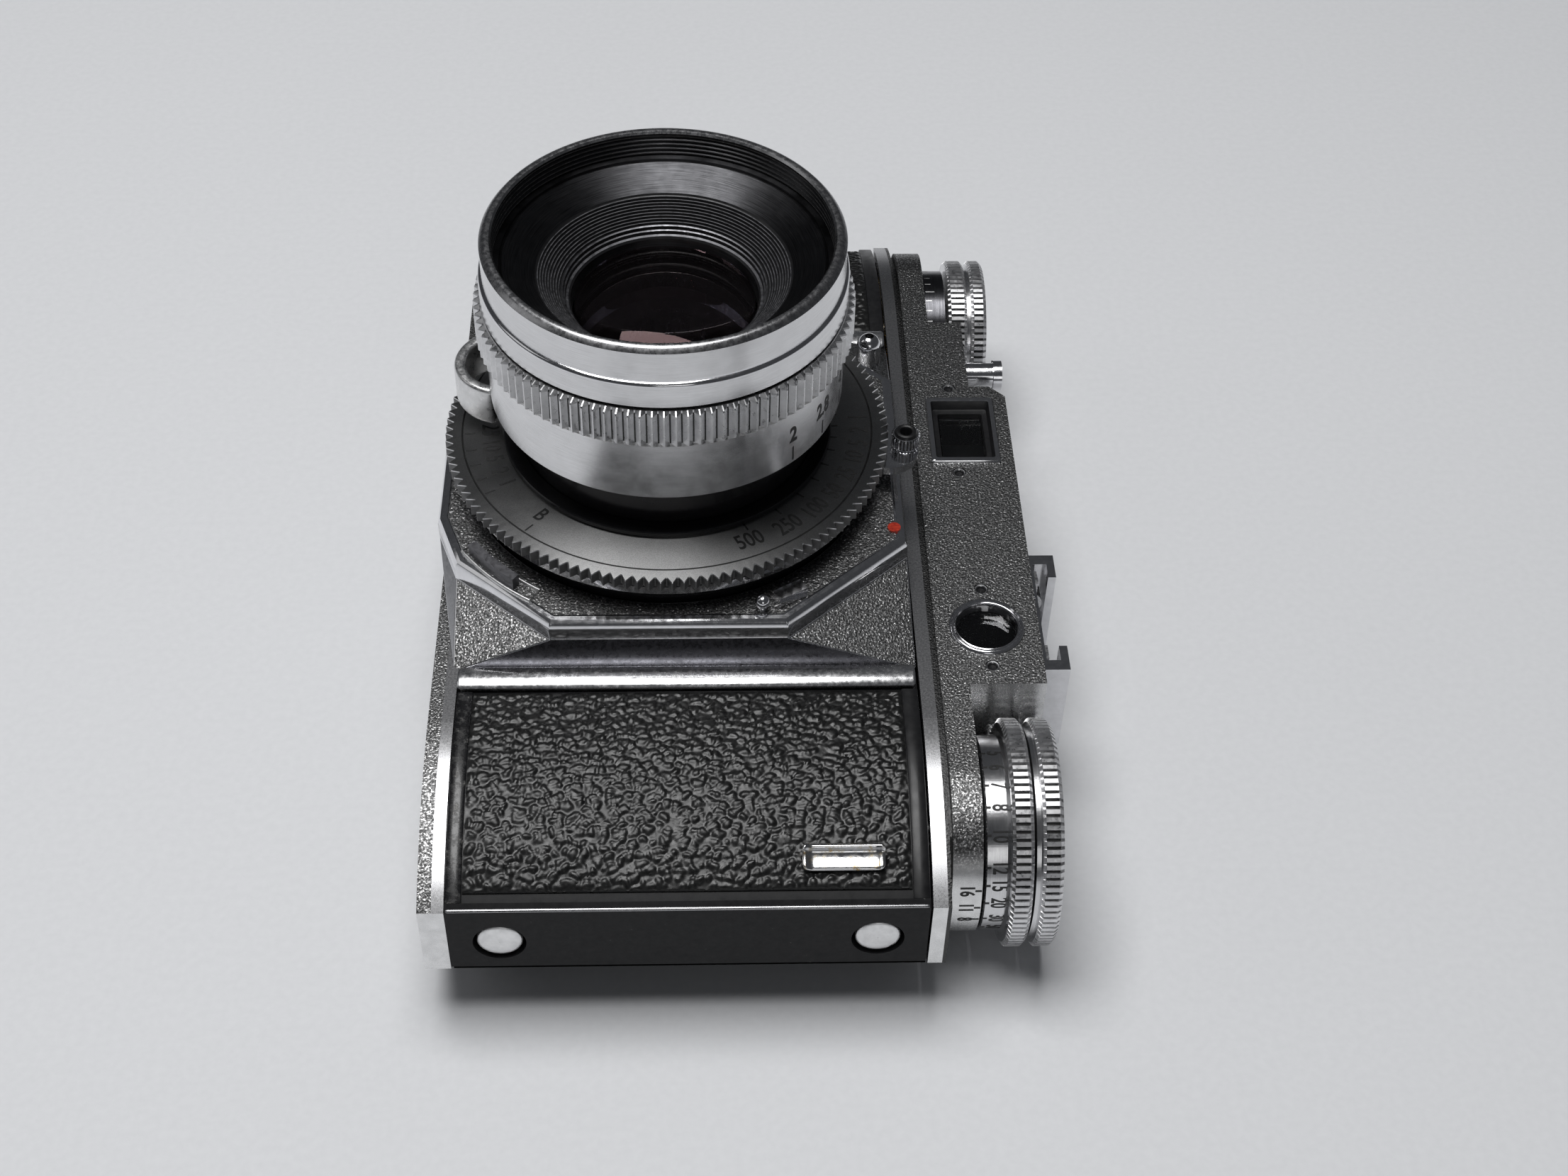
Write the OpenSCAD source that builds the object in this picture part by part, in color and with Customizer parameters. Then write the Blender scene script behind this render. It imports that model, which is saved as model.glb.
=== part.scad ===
// A 35 mm leaf-shutter camera lying on its back.
// +Z is the lens axis, +X points to the camera's top plate, -Y is the focusing and rewind end.
// The origin is on the back door's resting face, under the lens axis.

/* [Body] */
// Y of the end wall beside the focusing knob
near_end_y = -71.8; // [-73:0.1:-71.5]
// Y of the end wall beside the advance knob
far_end_y = 70.8; // [70.4:0.1:72]
// Z of the front faces of the covers
front_z = 30; // [29.5:0.1:30.5]
// Z of the back faces of the covers
back_z = 2.6; // [2.2:0.1:3]
// Radius of the curved front and back near both ends
end_curve_r = 53; // [50:1:60]
// Half length of the flat part between the curved ends
flat_half_y = 44.8; // [44:0.1:46]
// Half length of the back door's flat part
door_flat_y = 52; // [50:0.5:54]
// X of the outer face of the bottom cover
bottom_x = -33; // [-34:0.1:-32.6]
// X of the outer face of the top cover's raised block
block_x = 53.6; // [53.4:0.1:53.8]

/* [Front housing] */
// Z of the octagonal front plate
plate_z = 38.2; // [38:0.1:38.6]
// Radius of the bore for the shutter case
housing_bore_r = 30; // [29.9:0.1:30.2]

/* [Lens and shutter] */
// Radius of the speed ring over its teeth
speed_ring_r = 32.6; // [32:0.1:33]
// Radius of the lens rim
rim_r = 25.2; // [25:0.1:25.4]
// Z of the lens rim
rim_z = 80; // [79.5:0.1:80.5]
// Radius of the knurled aperture ring
aperture_ring_r = 26.7; // [26.4:0.1:27]
// Radius of the 47 mm filter thread
filter_r = 23.5; // [23.3:0.1:23.6]

/* [Knobs] */
// Y of the focusing and rewind knob axis
focus_y = -54.2; // [-54.6:0.1:-54]
// Radius of the focusing and rewind knob rims
focus_rim_r = 16; // [15.6:0.1:16]
// Y of the advance knob axis
advance_y = 55.6; // [55.4:0.1:55.8]
// Radius of the advance knob rims
advance_rim_r = 12.5; // [12:0.1:12.6]

/* [Hidden] */
$fn = 96;
gap = 0.35;
mid_z = (front_z + back_z) / 2;
depth = front_z - back_z;
inner_lo_x = -29.4;
inner_hi_x = 35.2;
seam_x = 35.5;
groove_x = 38.2;
deck_x = 42.6;
step_x = 48;
deck_r = depth / 2;
block_near_y = -38.6;
block_far_y = 25.4;
block_chamfer = 2.4;
step_far_y = 41.6;
split_z = 10.1;
wall = 1.3;
door_wall = 1.5;
door_back_z = 0.55;
door_rise = split_z - door_back_z;
door_reach = -near_end_y - door_flat_y;
door_curve_r = (door_reach * door_reach + door_rise * door_rise) / (2 * door_rise);
door_lo_x = inner_lo_x + 0.3;
film_z = 6.2;
gate_x = 24;
gate_y = 36;
chamber_r = 12.6;
casting_near_joint_y = -39.5;
casting_far_joint_y = 26;
chamber_y = focus_y + 1;
chamber_z = mid_z - 1;
spool_chamber_r = 11.6;
spool_chamber_y = advance_y - 1.2;
knob_x = 53.4;
bush_r = 5;
bush_x = 46.6;
rim_relief_x = 45.75;
hinge_y = 68.7;
hinge_z = 10.2;
knuckle_r = 1.5;
hinge_top_z = hinge_z + knuckle_r + gap;
sprocket_y = 38.4;
sprocket_z = 13.3;
advance_teeth = 24;
sprocket_teeth = 18;
gear_distance = sqrt(pow(advance_y - sprocket_y, 2) + pow(mid_z - sprocket_z, 2));
advance_pitch_r = gear_distance * advance_teeth / (advance_teeth + sprocket_teeth);
sprocket_pitch_r = gear_distance - advance_pitch_r;
mesh_angle = atan2(mid_z - sprocket_z, advance_y - sprocket_y);
gear_lo_x = 36.2;
gear_hi_x = 37.8;
shoe_y = -20;
shoe_lo_z = 8.6;
shoe_hi_z = 25.2;
shoe_half = 11.7;
shoe_lip = 7;
blade_pivot_r = 15.6;
blade_swing = 60;
shutter_hole_r = 9;
blade_z = 33.6;
blade_pitch = 0.55;
blade_t = 0.2;
ring_lo_z = 42.9;
ring_hi_z = 44.7;
barrel_lo_z = 53.6;
ap_lo_z = 63.8;
ap_hi_z = 70;
core_r = 24.4;
skirt_r = 29.6;
lens_r = 12.7;
rf_x = 46;
rf_y = -27.6;
rf_r = 5.5;
vf_x = 46.1;
vf_y = 14.9;
vf_w = 10.9;
vf_h = 15.2;
release_y = 34;
release_z = 25;
release_x = 54.4;
release_r = 2.1;
latch_z = 15.9;
socket_x = 31.6;
socket_y = 26.8;
latch_r = 3.1;
bush_end_x = -25.5;
release_lever_x = 28.6;
release_lever_y = -65.8;
release_lever_z = 26;
release_lever_tilt = 23;

// ---- shared shapes ----

// Extrudes a (y, z) outline along X.
module prism_x(x0, x1) {
    translate([x0, 0, 0])
        rotate([90, 0, 90])
            linear_extrude(height = x1 - x0)
                children();
}

// A cylinder with its axis along X.
module rod_x(x0, x1, y, z, r) {
    translate([x0, y, z])
        rotate([0, 90, 0])
            cylinder(r = r, h = x1 - x0);
}

module box(x0, x1, y0, y1, z0, z1) {
    translate([x0, y0, z0])
        cube([x1 - x0, y1 - y0, z1 - z0]);
}

module tube(r_out, r_in, z0, z1) {
    translate([0, 0, z0])
        difference() {
            cylinder(r = r_out, h = z1 - z0);
            translate([0, 0, -1])
                cylinder(r = r_in, h = z1 - z0 + 2);
        }
}

// What lies outside the curved surface at one end, above mid depth.
module end_relief(y_tangent, y_end, inset) {
    outward = sign(y_end);
    start = outward > 0 ? y_tangent : y_end - 2;
    difference() {
        translate([start, mid_z])
            square([abs(y_end - y_tangent) + 2, depth]);
        translate([y_tangent, front_z - end_curve_r])
            circle(r = end_curve_r - inset, $fn = 180);
    }
}

// The body's (y, z) outline, shrunk by inset on every side.
module body_outline(inset) {
    difference() {
        translate([near_end_y + inset, back_z + inset])
            square([far_end_y - near_end_y - 2 * inset, depth - 2 * inset]);
        for (flip = [0, 1]) {
            translate([0, flip * 2 * mid_z])
                mirror([0, flip]) {
                    end_relief(-flat_half_y, near_end_y, inset);
                    end_relief(flat_half_y, far_end_y, inset);
                }
        }
    }
}

// The top cover's deck outline, with a half round at each knob.
module deck_outline(inset) {
    translate([focus_y, back_z + inset])
        square([advance_y - focus_y, depth - 2 * inset]);
    translate([focus_y, mid_z])
        circle(r = deck_r - inset);
    translate([advance_y, mid_z])
        circle(r = deck_r - inset);
}

// A spur gear outline with narrow trapezoid teeth.
module gear_outline(teeth, pitch_r, phase) {
    step = 360 / teeth;
    circle(r = pitch_r - 0.75);
    for (i = [0 : teeth - 1]) {
        rotate(phase + i * step)
            polygon([
                [pitch_r - 1, -0.19 * step * pitch_r * PI / 180],
                [pitch_r + 0.55, -0.1 * step * pitch_r * PI / 180],
                [pitch_r + 0.55, 0.1 * step * pitch_r * PI / 180],
                [pitch_r - 1, 0.19 * step * pitch_r * PI / 180]
            ]);
    }
}

module arc_band(r_in, r_out, a0, a1) {
    difference() {
        circle(r = r_out);
        circle(r = r_in);
        rotate(a1)
            translate([-2 * r_out, 0])
                square([4 * r_out, 2 * r_out]);
        rotate(a0)
            translate([-2 * r_out, -2 * r_out])
                square([4 * r_out, 2 * r_out]);
    }
}

// ---- body ----

// The die-cast body. It is made in two castings that meet beside the front housing.
module castings() {
    difference() {
        prism_x(inner_lo_x, inner_hi_x)
            body_outline(0.6);
        // flat behind the front housing
        box(inner_lo_x - 1, inner_hi_x + 1, -39, 39, front_z - 0.6 - 0.4, front_z + 1);
        // film side, open to the door
        box(inner_lo_x - 1, inner_hi_x + 1, near_end_y - 1, far_end_y + 1, -1, film_z);
        box(inner_lo_x - 1, inner_hi_x + 1, hinge_y - 2.6, far_end_y + 1, -1, hinge_top_z);
        // step that the door's curved ends close over
        difference() {
            box(inner_lo_x - 1, inner_hi_x + 1, near_end_y - 1, far_end_y + 1, -1,
                split_z + gap);
            prism_x(inner_lo_x - 2, inner_hi_x + 2)
                body_outline(door_wall + 0.4);
        }
        // cassette chamber
        rod_x(-25, 25, chamber_y, chamber_z, chamber_r);
        box(-25, 25, chamber_y - chamber_r, chamber_y + chamber_r, -1, chamber_z);
        // take-up and sprocket chamber
        rod_x(-25, 25, spool_chamber_y, mid_z - 0.5, spool_chamber_r);
        box(-25, 25, spool_chamber_y - spool_chamber_r, spool_chamber_y + spool_chamber_r, -1,
            mid_z - 0.5);
        rod_x(-25, 25, sprocket_y, sprocket_z, 8);
        box(-25, 25, sprocket_y - 8, sprocket_y + 8, -1, sprocket_z);
        // light box behind the shutter
        box(-gate_x / 2 - 2, gate_x / 2 + 2, -gate_y / 2 - 1.5, gate_y / 2 + 1.5, -1, 26);
        translate([0, 0, 12])
            cylinder(r = 22, h = 30);
        translate([0, 0, 25.5])
            cylinder(r = housing_bore_r, h = 30);
        // shaft holes
        rod_x(20, 40, focus_y, mid_z, 2.08);
        rod_x(-32, 40, advance_y, mid_z, 2.58);
        rod_x(-28, 40, sprocket_y, sprocket_z, 1.58);
        // pockets behind the door latch buttons
        for (x = [-22.5, 28.4]) {
            translate([x, near_end_y, latch_z])
                rotate([-90, 0, 0])
                    cylinder(r = latch_r + 0.5, h = 4.4);
        }
        // seat of the end plate
        box(inner_lo_x - 1, inner_hi_x + 1, near_end_y - 1, near_end_y + 1.2, split_z - 1, 24);
        rod_x(-40, bush_end_x, 0, mid_z, 6.05);
        release_stud(1.06);
    }
}

module body_casting() {
    color("dimgray")
        intersection() {
            castings();
            box(-50, 50, casting_near_joint_y, casting_far_joint_y, -10, 50);
        }
}

module cassette_housing() {
    color("dimgray")
        intersection() {
            castings();
            box(-50, 50, -90, casting_near_joint_y, -10, 50);
        }
}

module take_up_housing() {
    color("dimgray")
        intersection() {
            castings();
            box(-50, 50, casting_far_joint_y, 90, -10, 50);
        }
}

module bottom_cover() {
    color("silver")
        difference() {
            prism_x(bottom_x, inner_lo_x - 0.05)
                body_outline(0);
            prism_x(bottom_x + 1.4, inner_lo_x + 1)
                body_outline(1.6);
            rod_x(bottom_x - 1, 0, 0, mid_z, 6.5);
            rod_x(-31.7, 0, advance_y, mid_z, 2.58);
            rod_x(-32.5, 0, hinge_y, hinge_z, 0.57);
            // relief for the shutter case
            translate([0, 0, 25.5])
                cylinder(r = housing_bore_r, h = 30);
        }
    // rim around the tripod bush
    color("silver")
        difference() {
            rod_x(bottom_x + 0.2, inner_lo_x - 0.05, 0, mid_z, 8.5);
            rod_x(bottom_x - 1, 0, 0, mid_z, 6.5);
        }
}

// The window block seen from the front, with its far outer corner cut off.
module block_outline(inset) {
    cut = block_chamfer + 0.414 * inset;
    x0 = inset > 0 ? seam_x - 1 : deck_x - 1;
    x1 = block_x - inset;
    y0 = block_near_y + inset;
    y1 = block_far_y - inset;
    polygon([[x0, y0], [x1, y0], [x1, block_far_y - cut], [block_x - cut, y1], [x0, y1]]);
}

module top_cover() {
    color("silver")
        difference() {
            union() {
                prism_x(seam_x, groove_x - 0.2)
                    body_outline(0);
                prism_x(groove_x - 0.3, groove_x + 0.3)
                    intersection() {
                        body_outline(0.5);
                        deck_outline(0.5);
                    }
                prism_x(groove_x + 0.2, deck_x)
                    deck_outline(0);
                translate([0, 0, back_z])
                    linear_extrude(height = depth)
                        block_outline(0);
                box(deck_x - 1, step_x, block_near_y, step_far_y, back_z, front_z);
                // bearing bushes under both knobs
                rod_x(deck_x - 1, bush_x, focus_y, mid_z, bush_r);
                rod_x(deck_x - 1, bush_x, advance_y, mid_z, bush_r);
            }
            // hollow under the deck
            prism_x(seam_x - 1, deck_x - 1.2)
                intersection() {
                    body_outline(wall);
                    deck_outline(wall);
                }
            // hollow in the block
            translate([0, 0, back_z + wall])
                linear_extrude(height = depth - 2 * wall)
                    block_outline(wall);
            box(seam_x - 1, step_x - wall, block_far_y - wall - 1, step_far_y - wall,
                back_z + wall, front_z - wall);
            // windows in front
            translate([rf_x, rf_y, 20])
                cylinder(r = rf_r, h = 20);
            box(vf_x - vf_w / 2, vf_x + vf_w / 2, vf_y - vf_h / 2, vf_y + vf_h / 2, 20, 40);
            // eyepiece hole at the back
            translate([vf_x, vf_y, -1])
                cylinder(r = 4.5, h = 10);
            // bearings
            rod_x(30, 60, focus_y, mid_z, 2.08);
            rod_x(30, 60, advance_y, mid_z, 2.58);
            rod_x(30, 60, release_y, release_z, release_r + 0.08);
            rod_x(30, 37.4, hinge_y, hinge_z, 0.57);
            // spanner screw recesses
            for (p = [[44.7, 25], [44.8, 5.2], [45.9, -19.9], [46.2, -35.1]]) {
                translate([p[0], p[1], front_z - 0.6])
                    cylinder(r = 1.05, h = 2);
            }
            // room for the knob rims beside the block
            difference() {
                rod_x(rim_relief_x, 60, focus_y, mid_z, focus_rim_r + gap);
                rod_x(deck_x, bush_x, focus_y, mid_z, bush_r);
            }
        }
}

module housing_rect(z0, z1) {
    box(-30.2, 35.2, -35.2, 35.2, z0, z1);
}

module plate_octagon(inset, z0, z1) {
    k = inset * 0.42;
    points = [
        [-16.4 + k, -34.1 + inset], [17 - k, -34.1 + inset],
        [34.8 - inset, -18.2 + k], [34.8 - inset, 18.2 - k],
        [17 - k, 34.1 - inset], [-16.4 + k, 34.1 - inset],
        [-30.3 + inset * 0.9, 21.9 - k], [-33.5 + inset, 12.6],
        [-33.5 + inset, -12.6], [-30.3 + inset * 0.9, -21.9 + k]
    ];
    translate([0, 0, z0])
        linear_extrude(height = z1 - z0)
            polygon(points);
}

module front_housing() {
    color("silver")
        difference() {
            hull() {
                housing_rect(front_z - 0.95, front_z + 0.9);
                plate_octagon(0, plate_z - 3.4, plate_z - 1.1);
                plate_octagon(1.1, plate_z - 2, plate_z);
            }
            translate([0, 0, 20])
                cylinder(r = housing_bore_r, h = 30);
            // bottom cover flange stands under the plate's left edge
            box(-40, -29.35, -40, 40, 20, front_z + 0.05);
            // slot of the sync slider
            translate([0, 0, plate_z - 1.6])
                linear_extrude(height = 4)
                    arc_band(33.15, 35.15, 213.5, 237.5);
            translate([13.4, -31.6, plate_z - 2])
                cylinder(r = 0.6, h = 4);
            translate([socket_x, socket_y, 20])
                cylinder(r = 1.95, h = 30);
            translate([32.9, -15.4, plate_z - 0.8])
                cylinder(r = 1, h = 4);
        }
}

module trim_bar(side) {
    intersection() {
        rod_x(inner_lo_x, 34.9, side * 37.05, front_z - 0.8, 1.8);
        box(-40, 40, side * 37.05 - 5, side * 37.05 + 5, front_z - 0.95, front_z + 5);
    }
}

module trim_bars() {
    color("white") {
        trim_bar(-1);
        trim_bar(1);
    }
}

module leather_panel(y0, y1) {
    intersection() {
        prism_x(-27.6, 33.3)
            difference() {
                body_outline(0.1);
                body_outline(0.6);
            }
        box(-40, 40, y0, y1, mid_z, 40);
    }
}

module leather_near() {
    color("black")
        difference() {
            leather_panel(near_end_y + 1.2, -39.1);
            release_stud(1.06);
        }
}

module leather_far() {
    color("black")
        leather_panel(39.1, far_end_y - 1.2);
}

// The black end wall between the covers.
module end_plate_near() {
    color("black")
        difference() {
            intersection() {
                prism_x(inner_lo_x, inner_hi_x)
                    body_outline(0);
                box(-40, 40, near_end_y, near_end_y + 1.15, split_z + gap, 40);
            }
            for (x = [-22.5, 28.4]) {
                translate([x, near_end_y - 1, latch_z])
                    rotate([-90, 0, 0])
                        cylinder(r = latch_r + 0.5, h = 4);
            }
        }
}

module film_gate() {
    color("lightgray")
        difference() {
            box(-16.5, 16.5, -21, 21, film_z - 0.55, film_z - 0.05);
            box(-gate_x / 2, gate_x / 2, -gate_y / 2, gate_y / 2, 0, 10);
        }
    // film guide rails beyond the film edges
    color("lightgray")
        for (x = [-18.9, 17.7]) {
            box(x, x + 1.2, -26, 26, film_z - 0.9, film_z - 0.05);
        }
}

module tripod_bush() {
    color("silver")
        difference() {
            union() {
                rod_x(bottom_x, inner_lo_x - 0.05, 0, mid_z, 6.45);
                rod_x(bottom_x, bush_end_x - 0.05, 0, mid_z, 6);
            }
            rod_x(bottom_x - 1, bush_end_x - 1, 0, mid_z, 3.175);
        }
}

module accessory_shoe() {
    color("silver")
        difference() {
            box(block_x, block_x + 4.7, shoe_y - shoe_half, shoe_y + shoe_half,
                shoe_lo_z, shoe_hi_z);
            box(block_x + 1.4, block_x + 3.5, shoe_y - shoe_half + 1.9, shoe_y + shoe_half - 1.9,
                shoe_lo_z - 1, shoe_hi_z + 1);
            box(block_x + 1.4, block_x + 6, shoe_y - shoe_lip, shoe_y + shoe_lip,
                shoe_lo_z - 1, shoe_hi_z + 1);
        }
}

module shoe_spring() {
    color("gray") {
        for (side = [-1, 1]) {
            box(block_x + 1.45, block_x + 1.95, shoe_y + side * 7.6 - 1.3,
                shoe_y + side * 7.6 + 1.3, shoe_lo_z + 1, shoe_hi_z - 0.6);
            intersection() {
                translate([block_x + 0.6, shoe_y + side * 7.6 - 1.3, mid_z + 4])
                    rotate([-90, 0, 0])
                        cylinder(r = 2.3, h = 2.6);
                box(block_x + 1.5, block_x + 4, shoe_y - 12, shoe_y + 12, 0, 40);
            }
        }
        box(block_x + 1.45, block_x + 1.95, shoe_y - 8, shoe_y + 8, shoe_lo_z + 1,
            shoe_lo_z + 3);
    }
}

module rangefinder_ring() {
    color("silver")
        translate([rf_x, rf_y, 0])
            difference() {
                translate([0, 0, front_z - 2.5])
                    cylinder(r = rf_r - 0.02, h = 2.9);
                cylinder(r = rf_r - 1.1, h = 50);
            }
}

module viewfinder_frame() {
    color("silver")
        difference() {
            box(vf_x - vf_w / 2 + 0.02, vf_x + vf_w / 2 - 0.02, vf_y - vf_h / 2 + 0.02,
                vf_y + vf_h / 2 - 0.02, front_z - 3, front_z + 0.4);
            box(vf_x - 3.3, vf_x + 3.3, vf_y - 4.9, vf_y + 4.9, 20, front_z + 1);
            box(vf_x - 4.4, vf_x + 4.4, vf_y - 6, vf_y + 6, front_z - 1.2, front_z + 1);
        }
}

module window_glass() {
    color("lightblue")
        translate([rf_x, rf_y, front_z - 2.4])
            cylinder(r = rf_r - 1.15, h = 1);
    color("lightblue")
        box(vf_x - 3.25, vf_x + 3.25, vf_y - 4.85, vf_y + 4.85, front_z - 2.8, front_z - 1.8);
}

module finder_prism() {
    color("lightblue") {
        // finder block behind the large window
        box(vf_x - 5.2, block_x - wall, vf_y - 7, vf_y + 7, 8, 20);
        // prism behind the small window
        translate([0, 0, 8])
            linear_extrude(height = 12)
                polygon([[rf_x - 5, rf_y - 5], [rf_x + 5, rf_y + 5], [rf_x - 5, rf_y + 5]]);
        // bar joining them
        box(rf_x - 5, rf_x - 3, rf_y + 4, vf_y - 6, 10, 18);
    }
}

module eyepiece() {
    color("black")
        translate([vf_x, vf_y, 0])
            difference() {
                union() {
                    translate([0, 0, 0.5])
                        cylinder(r = 6, h = back_z - 0.55);
                    translate([0, 0, 0.5])
                        cylinder(r = 4.45, h = 6);
                }
                translate([0, 0, -1])
                    cylinder(r = 3, h = 3.2);
                translate([0, 0, -1])
                    cylinder(r = 2.4, h = 10);
            }
}

module sync_socket() {
    color("silver")
        translate([socket_x, socket_y, 0])
            difference() {
                union() {
                    translate([0, 0, front_z - 0.8])
                        cylinder(r = 1.9, h = 8.4);
                    translate([0, 0, front_z + 7.6])
                        sphere(r = 1.9, $fn = 48);
                }
                translate([0, 0, front_z + 5])
                    cylinder(r = 0.7, h = 10);
            }
}

module index_pin() {
    color("white")
        translate([13.4, -31.6, 0]) {
            translate([0, 0, plate_z - 1.9])
                cylinder(r = 0.58, h = 3.2);
            translate([0, 0, plate_z + 1.6])
                sphere(r = 1.05, $fn = 32);
        }
}

module stop_block() {
    color("gray")
        rotate(-59.5)
            translate([34.1, 0, plate_z])
                translate([-1, -2.3, 0])
                    cube([2, 4.6, 1.7]);
}

module index_dot() {
    color("red")
        translate([32.9, -15.4, plate_z - 0.75])
            cylinder(r = 0.95, h = 0.95);
}

module cover_screws() {
    color("gray")
        for (p = [[44.7, 25], [44.8, 5.2], [45.9, -19.9], [46.2, -35.1]]) {
            translate([p[0], p[1], front_z - 0.58])
                difference() {
                    cylinder(r = 1, h = 0.35);
                    translate([0, 0, 0.1])
                        cylinder(r = 0.55, h = 2);
                }
        }
}

module hinge_pin() {
    color("silver")
        rod_x(-32.4, 37.3, hinge_y, hinge_z, 0.55);
}

// ---- lens and shutter ----

module shutter_case() {
    color("dimgray")
        difference() {
            union() {
                translate([0, 0, 27])
                    cylinder(r = skirt_r, h = 15.5);
                translate([0, 0, 42])
                    cylinder(r = 21.8, h = 2.7);
                translate([0, 0, 16])
                    cylinder(r = 16, h = 12);
            }
            translate([0, 0, 15])
                cylinder(r = 13, h = 16);
            translate([0, 0, 15])
                cylinder(r = shutter_hole_r, h = 40);
            // blade chamber
            translate([0, 0, blade_z - 0.5])
                cylinder(r = 21.5, h = 4);
            translate([0, 0, 38.6])
                cylinder(r = 19, h = 8);
        }
    // blade pivots
    color("dimgray")
        for (i = [0 : 4]) {
            rotate(72 * i)
                translate([blade_pivot_r, 0, blade_z - 0.6])
                    cylinder(r = 0.5, h = 4.2);
        }
}

// One blade, drawn open and swung back over the hole.
module shutter_blade(i) {
    color("darkgray")
        translate([0, 0, blade_z + i * blade_pitch])
            rotate(72 * i)
                linear_extrude(height = blade_t)
                    difference() {
                        translate([blade_pivot_r, 0])
                            rotate(-blade_swing)
                                translate([-blade_pivot_r, 0])
                                    blade_open();
                        translate([blade_pivot_r, 0])
                            circle(r = 0.56);
                    }
}

module blade_open() {
    difference() {
        intersection() {
            circle(r = 20.4);
            translate([blade_pivot_r, 0])
                rotate(blade_swing)
                    translate([-17.2, -7.3])
                        square([18.8, 11.6]);
        }
        circle(r = shutter_hole_r + 0.3);
    }
}

module lens_barrel() {
    color("silver")
        difference() {
            union() {
                translate([0, 0, 38.7])
                    cylinder(r = 18.9, h = 8);
                translate([0, 0, 45.1])
                    cylinder(r = 21.8, h = 9);
                translate([0, 0, barrel_lo_z])
                    cylinder(r = 25.4, h = ap_lo_z - barrel_lo_z - 0.3);
                translate([0, 0, ap_lo_z - 1])
                    cylinder(r = core_r, h = ap_hi_z - ap_lo_z + 1.4);
            }
            translate([0, 0, 30])
                cylinder(r = 13.2, h = 60);
            translate([0, 0, 60])
                cylinder(r = 17.5, h = 30);
        }
}

module front_ring() {
    color("silver")
        difference() {
            union() {
                translate([0, 0, ap_hi_z + 0.4])
                    cylinder(r = 25.7, h = 4.2);
                translate([0, 0, ap_hi_z + 4.5])
                    cylinder(r = rim_r, h = rim_z - ap_hi_z - 4.5);
            }
            translate([0, 0, 60])
                cylinder(r = 21, h = 40);
            translate([0, 0, ap_hi_z + 4.4])
                cylinder(r = 22.7, h = 10);
            translate([0, 0, rim_z - 4])
                cylinder(r = filter_r, h = 10);
        }
}

// Black ring inside the rim: a plain sloping face, then fine steps down to the glass.
module cone_ring() {
    steps = 7;
    color("black")
        rotate_extrude()
            polygon(concat(
                [[13, 66.5], [17.4, 66.5], [17.4, 70.6], [20.9, 70.6], [20.9, 74.5]],
                [[22.6, 74.5], [22.6, 75.4], [17.6, 73.2]],
                [for (i = [0 : steps - 1]) each [
                    [17.6 - i * 0.6, 73 - i * 0.55],
                    [17.1 - i * 0.6, 73 - i * 0.55]
                ]]
            ));
}

// A lens between two spherical faces of the same bulge.
module glass_disc(r, z, edge, bulge) {
    ball = (r * r + bulge * bulge) / (2 * bulge);
    translate([0, 0, z]) {
        cylinder(r = r, h = edge);
        translate([0, 0, edge])
            intersection() {
                translate([0, 0, bulge - ball])
                    sphere(r = ball, $fn = 120);
                translate([0, 0, -0.01])
                    cylinder(r = r, h = bulge + 1);
            }
    }
}

module front_lens() {
    color("lightblue")
        glass_disc(lens_r, 66.6, 1.6, 1.9);
    color("lightblue")
        glass_disc(13.15, 56, 2.2, 1.4);
}

module rear_lens() {
    color("lightblue") {
        glass_disc(13.15, 42, 3, 1);
        glass_disc(12.95, 18, 3, 1);
    }
}

module iris() {
    color("darkgray")
        translate([0, 0, 52])
            linear_extrude(height = 0.6)
                difference() {
                    circle(r = 13.15);
                    circle(r = 10.4, $fn = 10);
                }
}

module aperture_ring() {
    color("silver")
        tube(aperture_ring_r, core_r + 0.08, ap_lo_z, ap_hi_z);
}

module speed_ring() {
    color("gray")
        difference() {
            translate([0, 0, ring_lo_z])
                cylinder(r = speed_ring_r, h = ring_hi_z - ring_lo_z);
            translate([0, 0, 40])
                cylinder(r = 21.88, h = 10);
        }
}

module lock_tab() {
    // ring under the lens with a foot for the finger bow
    color("silver")
        translate([0, 0, ring_hi_z + gap])
            linear_extrude(height = 1)
                difference() {
                    union() {
                        circle(r = 24.2);
                        rotate(167)
                            translate([20, -4])
                                square([10.6, 8]);
                    }
                    circle(r = 21.88);
                }
    // finger bow
    color("silver")
        translate([-23.9, 5.6, ring_hi_z + 1.2])
            linear_extrude(height = 6.7)
                arc_band(5.4, 7.4, 95, 262);
}

module timer_lever() {
    color("silver")
        translate([0, 0, 41.2])
            linear_extrude(height = 1.3)
                difference() {
                    union() {
                        circle(r = 31.4);
                        rotate(-4.9)
                            translate([32.7, 0])
                                circle(r = 4.5);
                    }
                    circle(r = skirt_r + 0.08);
                }
}

module timer_knob() {
    color("white")
        rotate(-3.4)
            translate([35.2, 0, 42.5])
                difference() {
                    cylinder(r = 2.15, h = 2.7);
                    translate([0, 0, 1.6])
                        cylinder(r = 0.8, h = 4);
                }
}

module sync_slider() {
    color("gray")
        translate([0, 0, plate_z - 1.2])
            linear_extrude(height = 3)
                arc_band(33.5, 34.8, 215.5, 231.5);
}

// ---- controls on the top cover ----

module focus_knob() {
    color("silver")
        difference() {
            union() {
                rod_x(deck_x + 0.35, 46.2, focus_y, mid_z, deck_r - 0.1);
                rod_x(46.1, 49.4, focus_y, mid_z, focus_rim_r);
            }
            rod_x(40, bush_x + gap, focus_y, mid_z, bush_r + 0.06);
            rod_x(40, 60, focus_y, mid_z, 2.5);
        }
}

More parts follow.
